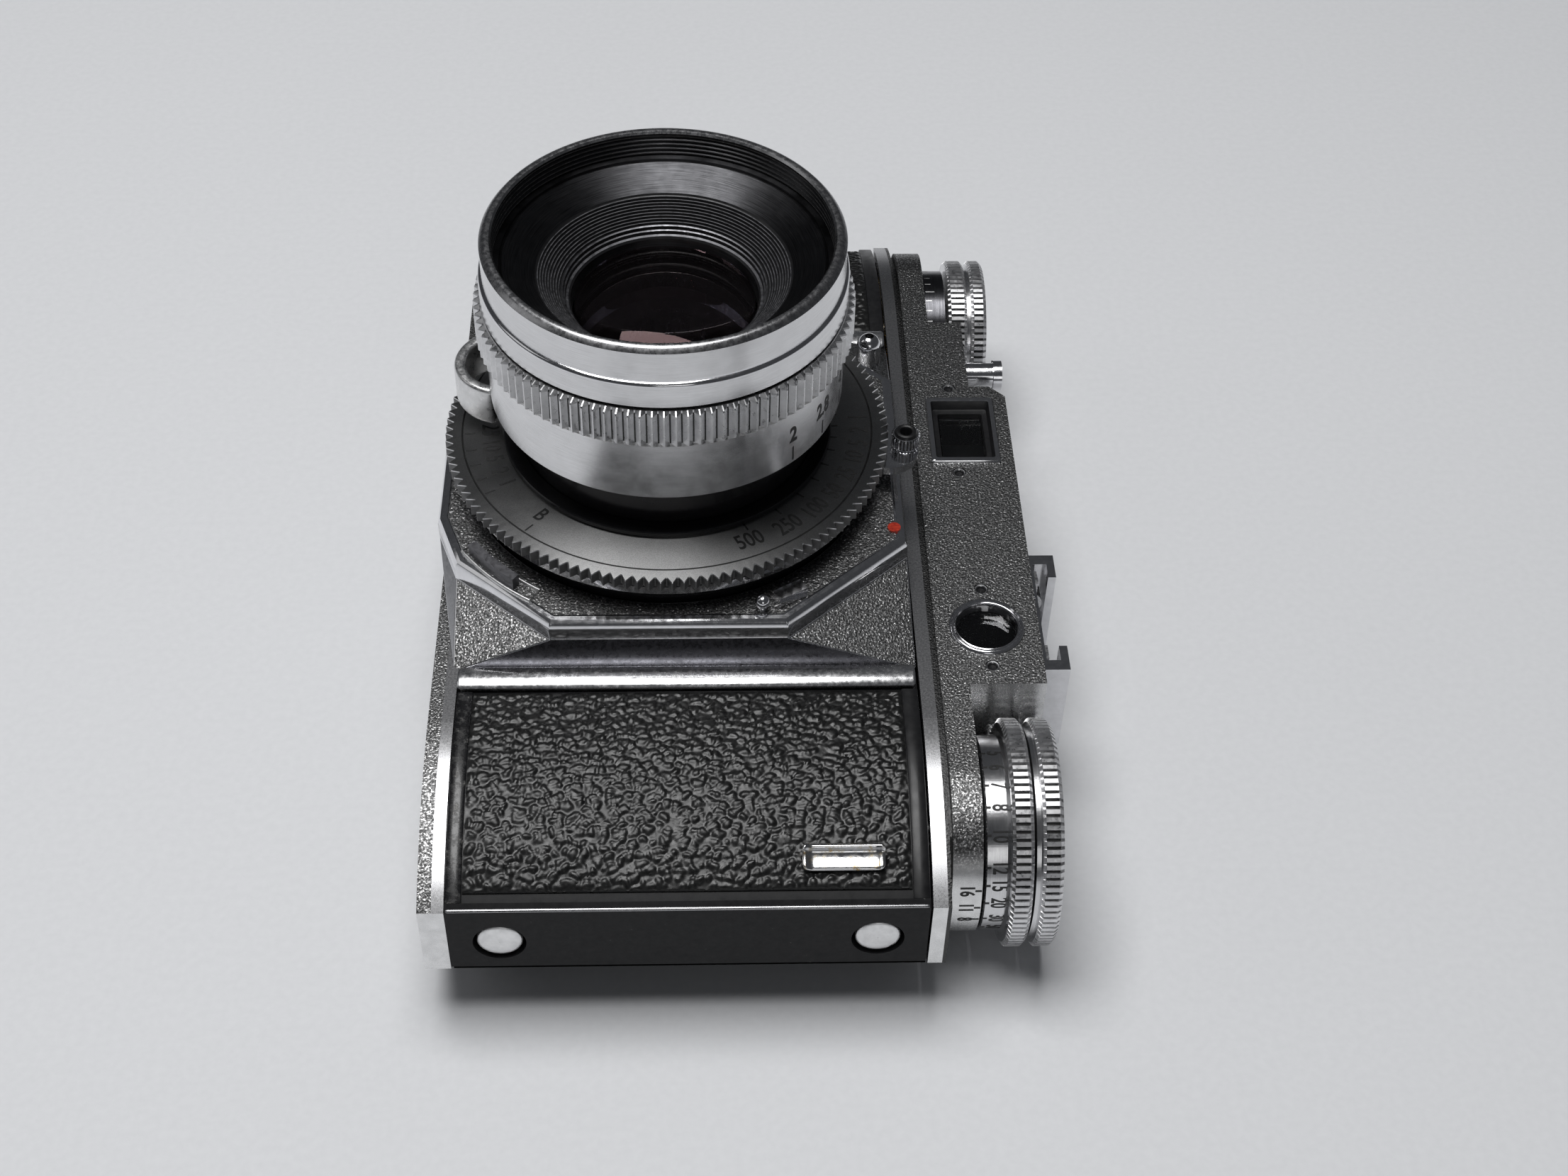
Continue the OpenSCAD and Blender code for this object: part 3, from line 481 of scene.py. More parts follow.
class Marks:
    """Collects numbers and ticks, each laid on a surface by a function from (x, y) to a point."""

    def __init__(self):
        self.verts, self.faces = [], []

    def text(self, words, size, lay, width=0.82, weight=0.012):
        curve = bpy.data.curves.new("glyph", "FONT")
        curve.body = words
        curve.size = size
        curve.align_x = "CENTER"
        curve.align_y = "CENTER"
        curve.offset = weight * size
        curve.resolution_u = 4
        ob = bpy.data.objects.new("glyph", curve)
        scene.collection.objects.link(ob)
        bpy.context.view_layer.update()
        shape = ob.evaluated_get(bpy.context.evaluated_depsgraph_get()).to_mesh()
        start = len(self.verts)
        self.verts += [lay(v.co.x * width, v.co.y) for v in shape.vertices]
        self.faces += [tuple(start + i for i in p.vertices) for p in shape.polygons]
        ob.to_mesh_clear()
        bpy.data.objects.remove(ob)
        bpy.data.curves.remove(curve)

    def tick(self, x0, x1, y0, y1, lay):
        start = len(self.verts)
        steps = 4
        for i in range(steps + 1):
            t = i / steps
            if abs(x1 - x0) > abs(y1 - y0):
                x = x0 + (x1 - x0) * t
                self.verts += [lay(x, y0), lay(x, y1)]
            else:
                y = y0 + (y1 - y0) * t
                self.verts += [lay(x0, y), lay(x1, y)]
        for i in range(steps):
            a = start + 2 * i
            self.faces.append((a, a + 1, a + 3, a + 2))

    def make(self, name, body, mat):
        return piece(name, self.verts, self.faces, body, [mat], smooth_angle=180)


def on_disc(angle, radius, z):
    """Lays marks on a flat ring; their top points to the axis."""
    a = math.radians(angle)
    out = Vector((math.cos(a), math.sin(a), 0))
    along = Vector((-math.sin(a), math.cos(a), 0))

    def lay(x, y):
        p = out * (radius - y) + along * x
        return (p.x, p.y, z)
    return lay


def on_tube_z(angle, radius, z):
    """Lays marks round a tube along Z; their top points to +Z."""
    def lay(x, y):
        a = math.radians(angle) + x / radius
        return (radius * math.cos(a), radius * math.sin(a), z + y)
    return lay


def on_tube_x(angle, radius, x0, y0, z0):
    """Lays marks on a drum along X; their top points to +X and they read round the drum."""
    def lay(x, y):
        a = math.radians(angle) + x / radius
        return (x0 + y, y0 + radius * math.cos(a), z0 + radius * math.sin(a))
    return lay


# ---- camera, floor and light ----

def make_camera():
    tilt, pan, roll = [math.radians(angle) for angle in (45.8871, -2.9037, 1.7265)]
    place = Vector((5.384, -247.108, 265.053))
    turn = Matrix.Rotation(pan, 3, "Z")
    forward = turn @ Vector((0, math.cos(tilt), -math.sin(tilt)))
    right = turn @ Vector((1, 0, 0))
    up = right.cross(forward)
    side = right * math.cos(roll) + up * math.sin(roll)
    top = up * math.cos(roll) - right * math.sin(roll)
    data = bpy.data.cameras.new("camera")
    data.sensor_width = 36
    data.lens = 51.27
    data.clip_start, data.clip_end = 0.01, 20
    ob = bpy.data.objects.new("camera", data)
    scene.collection.objects.link(ob)
    pose = Matrix((side, top, -forward)).transposed().to_4x4()
    pose.translation = place * MM
    ob.matrix_world = pose
    scene.camera = ob


def make_floor():
    me = bpy.data.meshes.new("floor")
    half = 3.0
    corners = [(-half, -half, 0), (half, -half, 0), (half, half, 0), (-half, half, 0)]
    me.from_pydata(corners, [], [(0, 1, 2, 3)])
    m = Nodes("pale_table").set(Roughness=0.55, Specular_IOR_Level=0.3)
    m.colour(m.ramp(m.noise(0.8, 3.0), [(0.3, (0.77, 0.78, 0.8)), (0.7, (0.8, 0.81, 0.83))]))
    m.bump(m.noise(1.2, 3.0), 0.12, 0.05)
    me.materials.append(m.mat)
    ob = bpy.data.objects.new("floor", me)
    scene.collection.objects.link(ob)
    ob.location.z = -0.0001


def area_light(name, place, target, size, power):
    data = bpy.data.lights.new(name, "AREA")
    data.energy = power
    data.shape = "SQUARE"
    data.size = size
    ob = bpy.data.objects.new(name, data)
    ob.location = place
    aim = Vector(target) - Vector(place)
    ob.rotation_euler = aim.to_track_quat("-Z", "Y").to_euler()
    scene.collection.objects.link(ob)


def make_light():
    world = bpy.data.worlds.new("room")
    world.use_nodes = True
    world.node_tree.nodes["Background"].inputs["Color"].default_value = (0.5, 0.52, 0.56, 1)
    world.node_tree.nodes["Background"].inputs["Strength"].default_value = 0.09
    scene.world = world
    target = (0, 0, 0.02)
    area_light("overhead", (-0.12, 0.03, 1.0), target, 0.6, 8.3)
    area_light("left", (-0.95, 0.05, 0.6), target, 0.5, 0.4)
    area_light("front", (0.1, -1.1, 0.5), target, 0.4, 0.5)
    scene.view_settings.view_transform = "Standard"


make_camera()
make_floor()
make_light()


# ---- lens ----

def lens_parts():
    v_rib = [(0.0, 0.0), (0.12, 0.0), (0.5, 1.0), (0.62, 1.0)]
    # the grip's valleys take GROOVE: painted shade
    lathe("aperture_grip", [
        (24.5, 63.8, 0, 0), (25.9, 63.8, 0, 0), (26.7, 64.5, 1, 0), (26.7, 69.35, 1, 0),
        (26.55, 69.6, 1, 0), (25.8, 70.0, 0, 0), (24.5, 70.0, 0, 0)],
        "aperture", [RIB, GROOVE], ["aperture_ring"],
        count=104, pattern=[(a, d * 0.72) for a, d in v_rib], smooth_angle=20, groove=1)
    lathe("focus_barrel", [
        (13.2, 38.7, 0, 1), (18.9, 38.7, 0, 1), (18.9, 45.1, 0, 1), (21.8, 45.1, 0, 1),
        (21.8, 53.6, 0, 1), (25.0, 53.6, 0, 0), (25.4, 54.0, 0, 0), (25.4, 63.4, 0, 0),
        (24.4, 63.4, 0, 0), (24.4, 70.4, 0, 1), (17.5, 70.4, 0, 1), (17.5, 60, 0, 1),
        (13.2, 60, 0, 1)],
        "shutter_unit", [TURNED, SHUTTER_BLACK], ["lens_barrel"])
    threads = []
    r = RIM_THREAD_R
    for i in range(5):
        z = RIM_THREAD_TOP - i * THREAD_PITCH
        threads += [(r, z, 0, 4), (r, z - 0.16, 0, 1), (r + 0.35, z - 0.44, 0, 1)]
    lathe("front_rim", [
        (22.7, 74.4, 0, 1), (21.0, 74.4, 0, 1), (21.0, 70.4, 0, 1), (25.55, 70.4, 0, 0),
        (25.7, 70.55, 0, 0), (25.7, 73.95, 0, 2), (25.64, 74.2, 0, 2),
        # RIM over the rounded top of the rim is a darker grey: painted shade
        (25.48, 74.4, 0, 2), (25.22, 74.5, 0, 2), (25.2, 74.7, 0, 0), (25.2, 79.2, 0, 3),
        (24.7, 79.8, 0, 3), (24.2, 80.0, 0, 3), (23.75, 79.9, 0, 3), (23.5, 79.6, 0, 1)]
        + threads + [
        (23.5, 75.9, 0, 1), (22.7, 75.9, 0, 1)],
        "shutter_unit", [TURNED, NAME, CHROME, RIM, THREAD], ["front_ring"])
    cone = [(13.0, 66.5, 0, 0), (17.4, 66.5, 0, 0), (17.4, 70.6, 0, 0), (20.9, 70.6, 0, 0),
            (20.9, 74.5, 0, 0), (22.65, 74.5, 0, 0), (22.65, 75.5, 0, 0), (22.3, 75.6, 0, 0),
            (17.9, 73.35, 0, 1), (17.7, 73.1, 0, 1)]
    r, z = 17.6, 73.05
    for _ in range(9):
        cone += [(r, z, 0, 2), (r - 0.12, z - 0.02, 0, 1), (r - 0.2, z - 0.34, 0, 1)]
        r -= 0.355
        z -= 0.3
    cone += [(14.35, 70.35, 0, 2), (14.15, 70.25, 0, 1), (14.1, 69.7, 0, 2), (13.9, 69.6, 0, 1),
             (13.8, 69.1, 0, 2), (13.45, 69.0, 0, 1), (13.2, 68.7, 0, 0)]
    lathe("name_ring", cone, "shutter_unit", [NAME, BLACK, LAND],
          ["cone_ring"], smooth_angle=14)


def lens_glass():
    def element(name, r, z, thick, bulge, swap=()):
        ball = (r * r + bulge * bulge) / (2 * bulge)
        profile = [(0.0, z, 0, 0), (r, z, 0, 0), (r, z + thick, 0, 0)]
        steps = 18
        for i in range(1, steps + 1):
            rr = r * (1 - i / steps)
            profile.append((rr, z + thick + bulge - ball + math.sqrt(ball * ball - rr * rr), 0, 0))
        return lathe(name, profile, "shutter_unit", [LENS], swap, segments=128)
    element("front_element", 12.7, 66.2, 1.6, 2.6, ["front_lens"])
    element("second_element", 13.15, 56.0, 2.2, 1.4)
    element("rear_element", 12.9, 42.0, 3.0, 1.2, ["rear_lens"])


def speed_ring():
    tooth = [(0.0, 0.0), (0.08, 0.0), (0.48, 1.0), (0.6, 1.0)]
    # TOOTH_SIDE on the outer wall, and GROOVE under the rim and in the face's groove, are painted
    # shade
    lathe("speed_dial_ring", [
        (21.88, 42.9, 0, 0), (31.2, 42.9, 0, 2), (32.6, 42.95, 1, 1), (32.6, 44.52, 1, 3),
        (32.5, 44.68, 1, 0), (31.3, 44.7, 0, 0), (30.25, 44.7, 0, 2), (30.12, 44.58, 0, 2),
        (29.98, 44.7, 0, 0), (22.3, 44.7, 0, 0), (21.88, 44.4, 0, 0)],
        "speed_dial", [FACE, TOOTH_SIDE, GROOVE, TOOTH], ["speed_ring"],
        count=126, pattern=tooth, smooth_angle=20)
    marks = Marks()
    z = DIAL_INK_Z
    for words, angle, r in [("500", -64.4, 27.0), ("250", -51.2, 27.4), ("100", -40.3, 27.7),
                            ("50", -30.9, 27.9), ("25", -22.6, 28.1), ("10", -14.9, 28.2),
                            ("5", -8.4, 28.3), ("2", -2.5, 28.3), ("1", 3.2, 28.3)]:
        marks.text(words, 3.9, on_disc(angle, r, z), width=0.72, weight=0.014)
        marks.tick(-0.13, 0.13, -1.1, 1.1, on_disc(angle + 1.6, 24.0, z))
    for words, angle in [("B", -133.0), ("1", -151.7), ("2", -157.6), ("5", -163.9),
                         ("10", -170.3), ("25", -177.6)]:
        marks.text(words, 3.6, on_disc(angle, 26.1, z), width=0.72, weight=0.014)
        marks.tick(-0.11, 0.11, -0.8, 0.8, on_disc(angle + 1.2, 29.0, z))
    marks.make("speed_numbers", "speed_dial", INK)


def barrel_marks():
    marks = Marks()
    r = BARREL_INK_R
    for words, angle in [("2", -45.9), ("2.8", -30.0), ("4", -14.0), ("5.6", 2.0), ("8", 18.0),
                         ("11", 34.0), ("16", 50.0)]:
        marks.text(words, 3.7, on_tube_z(angle, r, 59.0), width=0.78, weight=0.03)
        marks.tick(-0.13, 0.13, -1.2, 1.2, on_tube_z(angle, r, 55.6))
    marks.make("aperture_numbers", "shutter_unit", INK)


lens_parts()
lens_glass()
speed_ring()
barrel_marks()


# ---- knobs ----

def knobs():
    rib = [(0.0, 0.0), (0.56, 0.0), (0.62, 1.0), (0.94, 1.0)]
    deep = [(a, d * 0.4) for a, d in rib]
    focus = (FOCUS_Y, AXIS_Z)
    # the ribs' valleys take GROOVE: painted shade
    lathe("focus_grip", [
        (5.06, 42.95, 0, 0), (13.3, 42.95, 0, 0), (13.6, 43.15, 0, 0), (13.6, 45.9, 0, 0),
        (14.2, 46.3, 0, 0), (15.3, 46.35, 0, 1), (15.95, 46.75, 1, 1), (15.95, 48.75, 1, 1),
        (15.4, 49.25, 0, 0), (14.6, 49.4, 0, 0), (5.06, 49.4, 0, 0)],
        "focus_knob", [TURNED_X, RIB, GROOVE], ["focus_knob"], axis="X",
        centre=focus, count=92, pattern=deep, smooth_angle=22, groove=2)
    lathe("rewind_grip", [
        (2.0, 49.7, 0, 0), (14.7, 49.7, 0, 0), (14.7, 50.3, 0, 0), (15.4, 50.45, 0, 1),
        (15.95, 50.85, 1, 1), (15.95, 52.75, 1, 1), (15.4, 53.3, 0, 0), (13.4, 53.35, 0, 0),
        (13.1, 52.8, 0, 0), (2.0, 52.8, 0, 0)],
        "rewind", [TURNED_X, RIB, GROOVE], ["rewind_knob"], axis="X",
        centre=focus, count=92, pattern=deep, smooth_angle=22, groove=2)
    advance = (ADVANCE_Y, AXIS_Z)
    lathe("advance_grip", [
        (2.5, 46.95, 0, 0), (11.9, 46.95, 0, 1), (12.45, 47.4, 1, 1), (12.45, 49.6, 1, 1),
        (11.9, 50.1, 0, 0), (11.3, 50.2, 0, 0), (11.3, 50.7, 0, 0), (11.9, 50.8, 0, 1),
        (12.45, 51.25, 1, 1), (12.45, 52.8, 1, 1), (11.9, 53.35, 0, 0), (10.2, 53.35, 0, 0),
        (10.0, 52.8, 0, 0), (2.5, 52.8, 0, 0)],
        "advance", [TURNED_X, RIB, GROOVE], ["advance_knob"], axis="X",
        centre=advance, count=76, pattern=deep, smooth_angle=22, groove=2)
    lathe("frame_counter", [
        (5.06, 42.95, 0, 0), (10.5, 42.95, 0, 0), (10.7, 43.1, 0, 0), (10.7, 46.5, 0, 0),
        (5.06, 46.5, 0, 0)],
        "counter", [DARK_DRUM], ["counter_drum"], axis="X", centre=advance)
    drum = Marks()
    r = DISTANCE_INK_R
    for words, angle in [("5", 76), ("6", 88), ("7", 100.7), ("8", 114.1), ("10", 130.2),
                         ("12", 148.8), ("15", 160.3), ("20", 173.2), ("30", -172),
                         ("50", -158)]:
        drum.text(words, 3.2, on_tube_x(angle, r, 44.95, *focus), width=0.62, weight=0.02)
        drum.tick(-0.17, 0.17, -0.5, 0.1, on_tube_x(angle, r, 43.6, *focus))
    drum.make("distance_numbers", "focus_knob", INK)
    scale = Marks()
    r = DEPTH_INK_R
    for words, angle in [("16", 163.5), ("11", 176.5), ("8", -172)]:
        scale.text(words, 2.8, on_tube_x(angle, r, 40.5, *focus), width=0.66, weight=0.02)
        scale.tick(-0.13, 0.13, -0.45, 0.45, on_tube_x(angle, r, 42.1, *focus))
    scale.make("depth_numbers", "camera_body", INK)
    counter = Marks()
    for i in range(36):
        counter.tick(-0.1, 0.1, -0.5, 0.5 + 0.5 * (i % 5 == 0),
                     on_tube_x(i * 10, COUNTER_INK_R, 43.8, *advance))
    counter.make("counter_ticks", "counter", PALE_INK)


knobs()


# ---- leather ----

def body_front(y, inset=0.0):
    """Height of the body's front surface, curved towards both ends."""
    d = max(0.0, abs(y) - FLAT_Y)
    return FRONT_Z - CURVE_R + math.sqrt((CURVE_R - inset) ** 2 - d * d)


def leather_panel(name, node, y0, y1):
    """Pebbled leather over one end of the body, with its edges turned down."""
    (x0, x1), step = LEATHER_X, 0.2
    nx, ny = int((x1 - x0) / step), int((y1 - y0) / step)
    verts, faces = [], []
    for j in range(ny + 1):
        y = y0 + (y1 - y0) * j / ny
        for i in range(nx + 1):
            x = x0 + (x1 - x0) * i / nx
            p = Vector((x, y, 3.7))
            warp = noise.noise_vector(p * 0.8) * 0.55
            p2 = Vector((p.x * 0.8, p.y * 1.02, p.z)) + warp
            cell = noise.voronoi(p2)[0]
            dome = 1 - min(1.0, cell[0] / 0.7) ** 2
            ridge = 0.7 * dome + 0.3 * min(1.0, (cell[1] - cell[0]) * 3.0)
            fine = noise.fractal(p * 1.5, 0.6, 2.0, 2)
            edge = min(x - x0, x1 - x, y - y0, y1 - y)
            fade = min(1.0, max(0.0, edge / 0.5))
            h = fade * (0.3 * ridge + 0.03 * fine) - 0.15
            verts.append((x, y, body_front(y, 0.1) + h))
    for j in range(ny):
        for i in range(nx):
            a = j * (nx + 1) + i
            faces.append((a, a + 1, a + nx + 2, a + nx + 1))
    rim = grid_rim(nx, ny)
    base = len(verts)
    for k in rim:
        x, y, z = verts[k]
        verts.append((x, y, z - 0.45))
    for k in range(len(rim)):
        m = (k + 1) % len(rim)
        faces.append((rim[k], base + k, base + m, rim[m]))
    piece(name, verts, faces, "camera_body", [LEATHER], [node],
          smooth_angle=60)


def margin(name, x0, x1, y0, y1, mat):
    """The glossy black strip of casting that shows beside the leather."""
    steps = 60
    across = [(x0, -0.6), (x0, 0.0), (x0 + 0.12, 0.1), (x1 - 0.12, 0.1), (x1, 0.0), (x1, -0.6)]
    n = len(across)
    verts, faces = [], []
    for i in range(steps + 1):
        y = y0 + (y1 - y0) * i / steps
        verts += [(x, y, body_front(y, 0.3) + lift) for x, lift in across]
    for i in range(steps):
        faces += band(i * n, (i + 1) * n, n)
    faces += caps(n, steps * n)
    piece(name, verts, faces, "camera_body", [mat], smooth_angle=40)


leather_panel("leather_skin_near", "leather_near", -69.3, -39.5)
leather_panel("leather_skin_far", "leather_far", 39.5, 68.4)
for end, y0, y1 in [("near", -70.5, -39.2), ("far", 39.2, 70.2)]:
    margin(f"margin_low_{end}", *LOW_MARGIN_X, y0, y1, WORN)
    margin(f"margin_high_{end}", *HIGH_MARGIN_X, y0, y1, BLACK)


# ---- front housing ----

def housing():
    """The bevelled eight-sided plate that carries the shutter, with its sloping sides."""
    def octagon(inset, z):
        k = inset * 0.42
        return [(-16.4 + k, -34.1 + inset, z), (17 - k, -34.1 + inset, z),
                (34.8 - inset, -18.2 + k, z), (34.8 - inset, 18.2 - k, z),
                (17 - k, 34.1 - inset, z), (-16.4 + k, 34.1 - inset, z),
                (-30.3 + inset * 0.9, 21.9 - k, z), (-33.5 + inset, 12.6, z),
                (-33.5 + inset, -12.6, z), (-30.3 + inset * 0.9, -21.9 + k, z)]
    rings = [octagon(0, 34.9), octagon(0.0, 36.7), octagon(0.12, 37.3), octagon(0.4, 37.8),
             octagon(0.85, 38.1), octagon(1.45, 38.2), octagon(1.75, HOUSING_TOP)]
    verts, faces, mats = [], [], []
    for ring in rings:
        verts += ring
    n = 10
    for k in range(len(rings) - 1):
        faces += band(k * n, (k + 1) * n, n)
        mats += [1] * n
    # plate face between the polished edge and the bore
    count = 160
    edge = rings[-1]
    angles = sorted([TAU * i / count - math.pi for i in range(count)]
                    + [math.atan2(p[1], p[0]) for p in edge])
    start = len(verts)
    for a in angles:
        d = Vector((math.cos(a), math.sin(a)))
        best = 99.0
        for i in range(n):
            p, q = Vector(edge[i][:2]), Vector(edge[(i + 1) % n][:2])
            e = q - p
            cross = d.x * e.y - d.y * e.x
            if abs(cross) > 1e-9:
                t = (p.x * e.y - p.y * e.x) / cross
                u = (p.x * d.y - p.y * d.x) / cross
                if t > 0 and -1e-6 <= u <= 1 + 1e-6:
                    best = min(best, t)
        for r, z in [(best, HOUSING_TOP), (HOUSING_BORE_R + 0.15, HOUSING_TOP),
                     (HOUSING_BORE_R, HOUSING_TOP - 0.22), (HOUSING_BORE_R, FRONT_Z)]:
            verts.append((d.x * r, d.y * r, z))
    m = len(angles)
    for i in range(m):
        j = (i + 1) % m
        for k in range(3):
            a, b = start + i * 4 + k, start + j * 4 + k
            faces.append((a, b, b + 1, a + 1))
            mats.append(0 if k == 0 else 2)
    # sloping sides down to the rectangular foot
    foot = len(verts)
    low = 29.7
    verts += [(-30.2, -35.2, low), (35.2, -35.2, low), (35.2, 35.2, low), (-30.2, 35.2, low),
              (-30.2, -35.2, 29.05), (35.2, -35.2, 29.05), (35.2, 35.2, 29.05),
              (-30.2, 35.2, 29.05)]
    a, b, c, d = foot, foot + 1, foot + 2, foot + 3
    sides = [((a, b, 1, 0), 3), ((b, 2, 1), 0), ((b, c, 3, 2), 1), ((c, 4, 3), 0),
             ((c, d, 5, 4), 3), ((d, 6, 5), 0), ((a, 0, 9), 0), ((a, 9, 8), 1),
             ((a, 8, 7, d), 1), ((d, 7, 6), 1)]
    for f, mat in sides:
        faces.append(f)
        mats.append(mat)
    for i in range(4):
        j = (i + 1) % 4
        faces.append((foot + i, foot + 4 + i, foot + 4 + j, foot + j))
        mats.append(3)
    piece("front_plate", verts, faces, "camera_body", [GRAIN, CHROME, BLACK, SIDE],
          ["front_housing"], mats, smooth_angle=24, bevel=0.16, bevel_mat=1)


housing()


# ---- small front and top parts ----

def swept_x(name, outline, x0, x1, body, mats, swap=(), smooth_angle=30):
    """A closed (y, z) outline drawn out along X, with slightly drawn-in ends."""
    verts, faces = [], []
    n = len(outline)
    cy = sum(p[0] for p in outline) / n
    cz = sum(p[1] for p in outline) / n
    ends = [(x0, 0.8), (x0 + 0.12, 0.93), (x0 + 0.35, 1.0), (x1 - 0.35, 1.0),
            (x1 - 0.12, 0.93), (x1, 0.8)]
    for x, share in ends:
        verts += [(x, cy + (y - cy) * share, cz + (z - cz) * share) for y, z in outline]
    for k in range(len(ends) - 1):
        faces += band(k * n, (k + 1) * n, n)
    faces += caps(n, (len(ends) - 1) * n)
    piece(name, verts, faces, body, mats, swap, smooth_angle=smooth_angle)


def trim(side, swap=()):
    """The polished half-round bar between the housing and the leather."""
    outline = [(35.25, 29.1), (38.85, 29.1), (38.85, 29.9)]
    for i in range(13):
        a = math.radians(-62 + 124 * i / 12)
        outline.append((37.05 - 2.0 * math.sin(a) / math.sin(math.radians(62)),
                        29.3 + 1.65 * math.cos(a) ** 0.6))
    outline.append((35.25, 29.9))
    outline = [(side * y, z) for y, z in outline]
    name = "trim_bar_near" if side < 0 else "trim_bar_far"
    swept_x(name, outline, -29.4, 34.9, "camera_body", [TRIM], swap)


def window_parts():
    lathe("round_window_ring", [
        (4.4, 27.5, 0, 0), (5.48, 27.5, 0, 0), (5.48, 30.02, 0, 0), (5.35, 30.3, 0, 0),
        (5.1, 30.38, 0, 0), (4.95, 30.22, 0, 0), (4.85, 30.12, 0, 0), (4.72, 30.25, 0, 0),
        (4.55, 30.3, 0, 0), (4.42, 30.1, 0, 0)],
        "camera_body", [CHROME], ["rangefinder_ring"], centre=ROUND_WINDOW,
        smooth_angle=60)
    cx, cy = FINDER_WINDOW
    rings = [(5.43, 7.58, 27.2), (5.43, 7.58, 30.12), (5.25, 7.4, 30.36), (4.95, 7.1, 30.4),
             (4.62, 6.6, 30.3), (4.5, 6.35, 29.9), (4.3, 6.0, 29.0), (3.9, 5.5, 28.9),
             (3.55, 5.05, 28.9), (3.4, 4.9, 28.5), (3.4, 4.9, 27.2)]
    verts, faces, mats = [], [], []
    for hx, hy, z in rings:
        r = 0.35
        for sx, sy, a0 in [(1, 1, 0), (-1, 1, 90), (-1, -1, 180), (1, -1, 270)]:
            for k in range(4):
                a = math.radians(a0 + 30 * k)
                verts.append((cx + sx * (hx - r) + r * math.cos(a),
                              cy + sy * (hy - r) + r * math.sin(a), z))
    n = 16
    for k in range(len(rings)):
        faces += band(k * n, (k + 1) % len(rings) * n, n)
        mats += [1 if 4 <= k < 10 else 0] * n
    piece("viewfinder_surround", verts, faces, "camera_body", [CHROME, BLACK],
          ["viewfinder_frame"], mats, smooth_angle=40)


def cover_screws():
    for k, centre in enumerate(COVER_SCREWS):
        lathe(f"cover_screw_{k + 1}", [
            (0.05, 29.46, 0, 1), (0.5, 29.5, 0, 1), (0.72, 29.72, 0, 0), (0.8, 29.86, 0, 0),
            (0.92, 29.88, 0, 0), (0.99, 29.75, 0, 0), (0.99, 29.43, 0, 0), (0.05, 29.43, 0, 0)],
            "camera_body", [STEEL, BLACK], ["cover_screws"] if k == 0 else (),
            centre=centre, segments=48)


def timer_grip():
    a = math.radians(TIMER_ANGLE)
    ribs = [(0.0, 0.0), (0.45, 0.0), (0.55, 1.0), (0.95, 1.0)]
    # the ribs' valleys take GROOVE: painted shade
    lathe("timer_grip", [
        (0.8, 42.55, 0, 0), (2.0, 42.55, 0, 0), (2.15, 42.75, 1, 0), (2.15, 44.45, 1, 0),
        (1.95, 44.7, 0.3, 0), (1.75, 44.72, 0, 1), (1.5, 45.1, 0, 1), (1.2, 45.18, 0, 1),
        (0.95, 45.1, 0, 1), (0.8, 44.8, 0, 1)],
        "timer", [CHROME, BLACK, GROOVE], ["timer_knob"],
        centre=(TIMER_R * math.cos(a), TIMER_R * math.sin(a)), count=26,
        pattern=[(at, d * 0.25) for at, d in ribs], smooth_angle=30, groove=2)


def latch_disc(which):
    y = NEAR_Y
    lathe(f"latch_disc_{which}", [
        (0.05, y + 2.6, 0, 0), (3.05, y + 2.6, 0, 0), (3.08, y + 0.5, 0, 0),
        (2.95, y + 0.32, 0, 0), (2.6, y + 0.2, 0, 0), (1.8, y + 0.12, 0, 0),
        (0.9, y + 0.08, 0, 0), (0.05, y + 0.07, 0, 0)],
        f"latch_{which}", [DISC], [f"latch_button_{which}"], axis="Y",
        centre=(LATCH_X[which], LATCH_Z), segments=96, smooth_angle=60)


def finger_bow():
    """The strap that a finger turns the locking ring with, on a flat ring under the lens."""
    lathe("locking_ring", [
        (21.95, 45.05, 0, 0), (24.0, 45.05, 0, 0), (24.15, 45.2, 0, 0), (24.15, 45.8, 0, 0),
        (24.0, 45.95, 0, 0), (21.95, 45.95, 0, 0)],
        "lens_lock", [SHUTTER_BLACK], ["lock_tab"], smooth_angle=30)
    section = []
    for cr, cz, a0 in [(6.75, 51.8, 0), (6.1, 51.8, 90), (6.1, 46.8, 180), (6.75, 46.8, 270)]:
        for k in range(5):
            a = math.radians(a0 + 22.5 * k)
            section.append((cr + 0.55 * math.cos(a), cz + 0.7 * math.sin(a)))
    mid_r = 6.42
    verts, faces = [], []
    n, steps = len(section), 56
    for i in range(steps + 1):
        t = i / steps
        a = math.radians(95 + 167 * t)
        end_share = min(1.0, min(t, 1 - t) / 0.035)
        slim = max(0.12, math.sqrt(1 - (1 - end_share) ** 2))
        for r, z in section:
            rr = mid_r + (r - mid_r) * slim
            zz = 49.3 + (z - 49.3) * (0.55 + 0.45 * slim)
            verts.append((-23.9 + rr * math.cos(a), 5.6 + rr * math.sin(a), zz))
    for i in range(steps):
        faces += band((i + 1) * n, i * n, n)
    faces += caps(n, steps * n)
    piece("finger_bow", verts, faces, "lens_lock", [SATIN], smooth_angle=60)


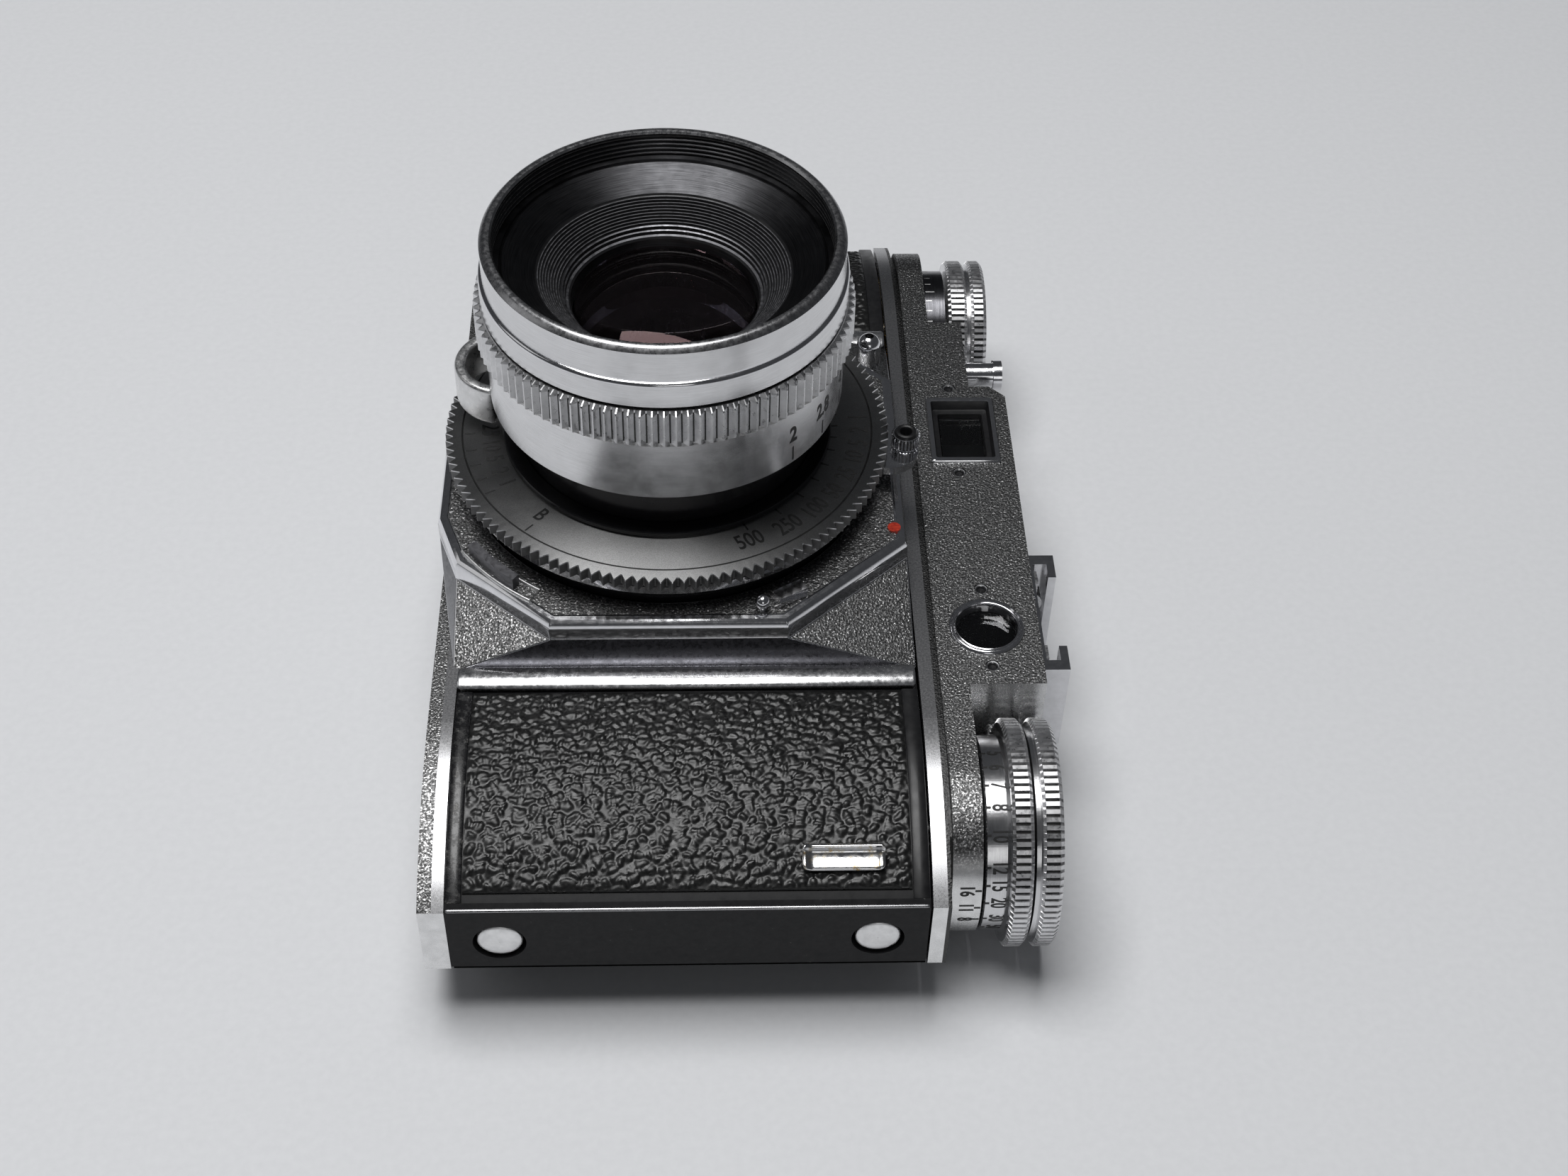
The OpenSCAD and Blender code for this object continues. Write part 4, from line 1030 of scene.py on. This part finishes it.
def lever_blade():
    """Bent chrome blade: dished along the middle, with a rolled back edge and a raised end."""
    along, across = 40, 18
    top, low = [], []
    for i in range(along + 1):
        t = i / along
        u = -10.5 + 11.1 * t
        round_off = math.sqrt(max(0.0, 1 - max(0.0, (abs(t - 0.5) - 0.42) / 0.08) ** 2))
        half = 1.25 + 0.62 * max(round_off, 0.25)
        for j in range(across + 1):
            s = j / across
            v = -half + 2 * half * s
            lip = 0.62 * math.exp(-((s - 0.86) / 0.13) ** 2)
            dish = -0.12 * math.sin(math.pi * min(1.0, s / 0.72))
            end = 0.5 * math.exp(-((t - 0.03) / 0.045) ** 2) + 0.25 * math.exp(
                -((t - 0.96) / 0.04) ** 2)
            rim = 0.35 * (1 - math.sqrt(max(0.0, 1 - (2 * s - 1) ** 6)))
            top.append((u, v, 0.55 + lip + dish + end * (1 - 0.4 * lip) - rim))
            low.append((u, v, 0.08))
    tilt = math.radians(23)

    def place(p):
        return (28.6 + p[0], -65.8 + p[1] * math.cos(tilt) - p[2] * math.sin(tilt),
                26.0 + p[1] * math.sin(tilt) + p[2] * math.cos(tilt))
    verts = [place(p) for p in top + low]
    base, row = len(top), across + 1
    faces = []
    for i in range(along):
        for j in range(across):
            a = i * row + j
            faces.append((a, a + 1, a + row + 1, a + row))
            faces.append((base + a, base + a + row, base + a + row + 1, base + a + 1))
    rim = grid_rim(across, along)
    for k in range(len(rim)):
        m = rim[(k + 1) % len(rim)]
        faces.append((rim[k], base + rim[k], base + m, m))
    piece("release_blade", verts, faces, "rewind_lever", [LEVER],
          ["rewind_release"], smooth_angle=50)


def slot_lip():
    """A raised rounded lip round the curved slot that the sync slider runs in."""
    verts, faces = [], []
    first, last = [math.radians(angle) for angle in SLOT_ANGLES]
    turns = [first + (last - first) * k / 24 for k in range(25)]
    path = [(SLOT_RADII[0], a, 1) for a in turns]
    path += [(SLOT_RADII[1], a, -1) for a in reversed(turns)]
    n = 7
    for r, a, sign in path:
        for k in range(n):
            b = math.pi * k / (n - 1)
            rr = r + sign * 0.28 * math.cos(b)
            verts.append((rr * math.cos(a), rr * math.sin(a), 38.1 + 0.42 * math.sin(b)))
    for i in range(len(path)):
        faces += band((i + 1) % len(path) * n, i * n, n)
    piece("slot_lip", verts, faces, "camera_body", [SATIN], smooth_angle=50)


def plate_edge():
    """Grey metal bead along the end plate's front edge: its grey is a painted highlight on the
    glossy black edge.
    """
    outline = []
    for k in range(14):
        a = TAU * k / 14
        outline.append((-71.42 + 0.36 * math.cos(a), 22.55 + 0.36 * math.sin(a)))
    swept_x("plate_edge", outline, -29.2, 35.0, "camera_body", [RIM],
            smooth_angle=60)


cover_screws()
plate_edge()
timer_grip()
latch_disc("low")
latch_disc("high")
finger_bow()
lever_blade()
slot_lip()
trim(-1, ["trim_bars"])
trim(1)
window_parts()


# ---- CAD nodes that keep their shape ----

dress("body_casting", [BLACK], 0.15)
dress("bottom_cover", [BASE], 1.0, -1, 5)
dress("top_cover", [COVER, CHROME], 0.4, 1)
dress("end_plate_near", [PLATE], 0.2)
dress("cassette_housing", [BLACK], 0.15)
dress("take_up_housing", [BLACK], 0.15)
dress("film_gate", [STEEL])
dress("tripod_bush", [STEEL], 0.2)
dress("accessory_shoe", [CHROME], 0.25)
dress("shoe_spring", [STEEL], 0.08)
dress("window_glass", [WINDOW])
dress("finder_prism", [BLACK])
dress("eyepiece", [BLACK], 0.3)
dress("sync_socket", [CHROME], 0.15)
dress("index_pin", [CHROME])
dress("stop_block", [CHROME], 0.25)
dress("index_dot", [RED], 0.12)
dress("hinge_pin", [STEEL])
dress("shutter_case", [SHUTTER_BLACK], 0.2)
for blade in range(1, 6):
    dress(f"shutter_blade_{blade}", [BLUED])
dress("iris", [BLUED])
dress("timer_lever", [CHROME], 0.3)
dress("sync_slider", [LAND], 0.15)
dress("rewind_shaft", [STEEL], 0.15)
dress("advance_shaft", [STEEL])
dress("advance_gear", [BRASS])
dress("sprocket", [STEEL])
dress("sprocket_gear", [BRASS])
dress("release_button", [CHROME], 0.2)
dress("back_door", [BLACK], 0.2)
dress("door_leather", [LEATHER], 0.15)
dress("pressure_plate", [BLACK], 0.15)
dress("pressure_spring", [BRASS])
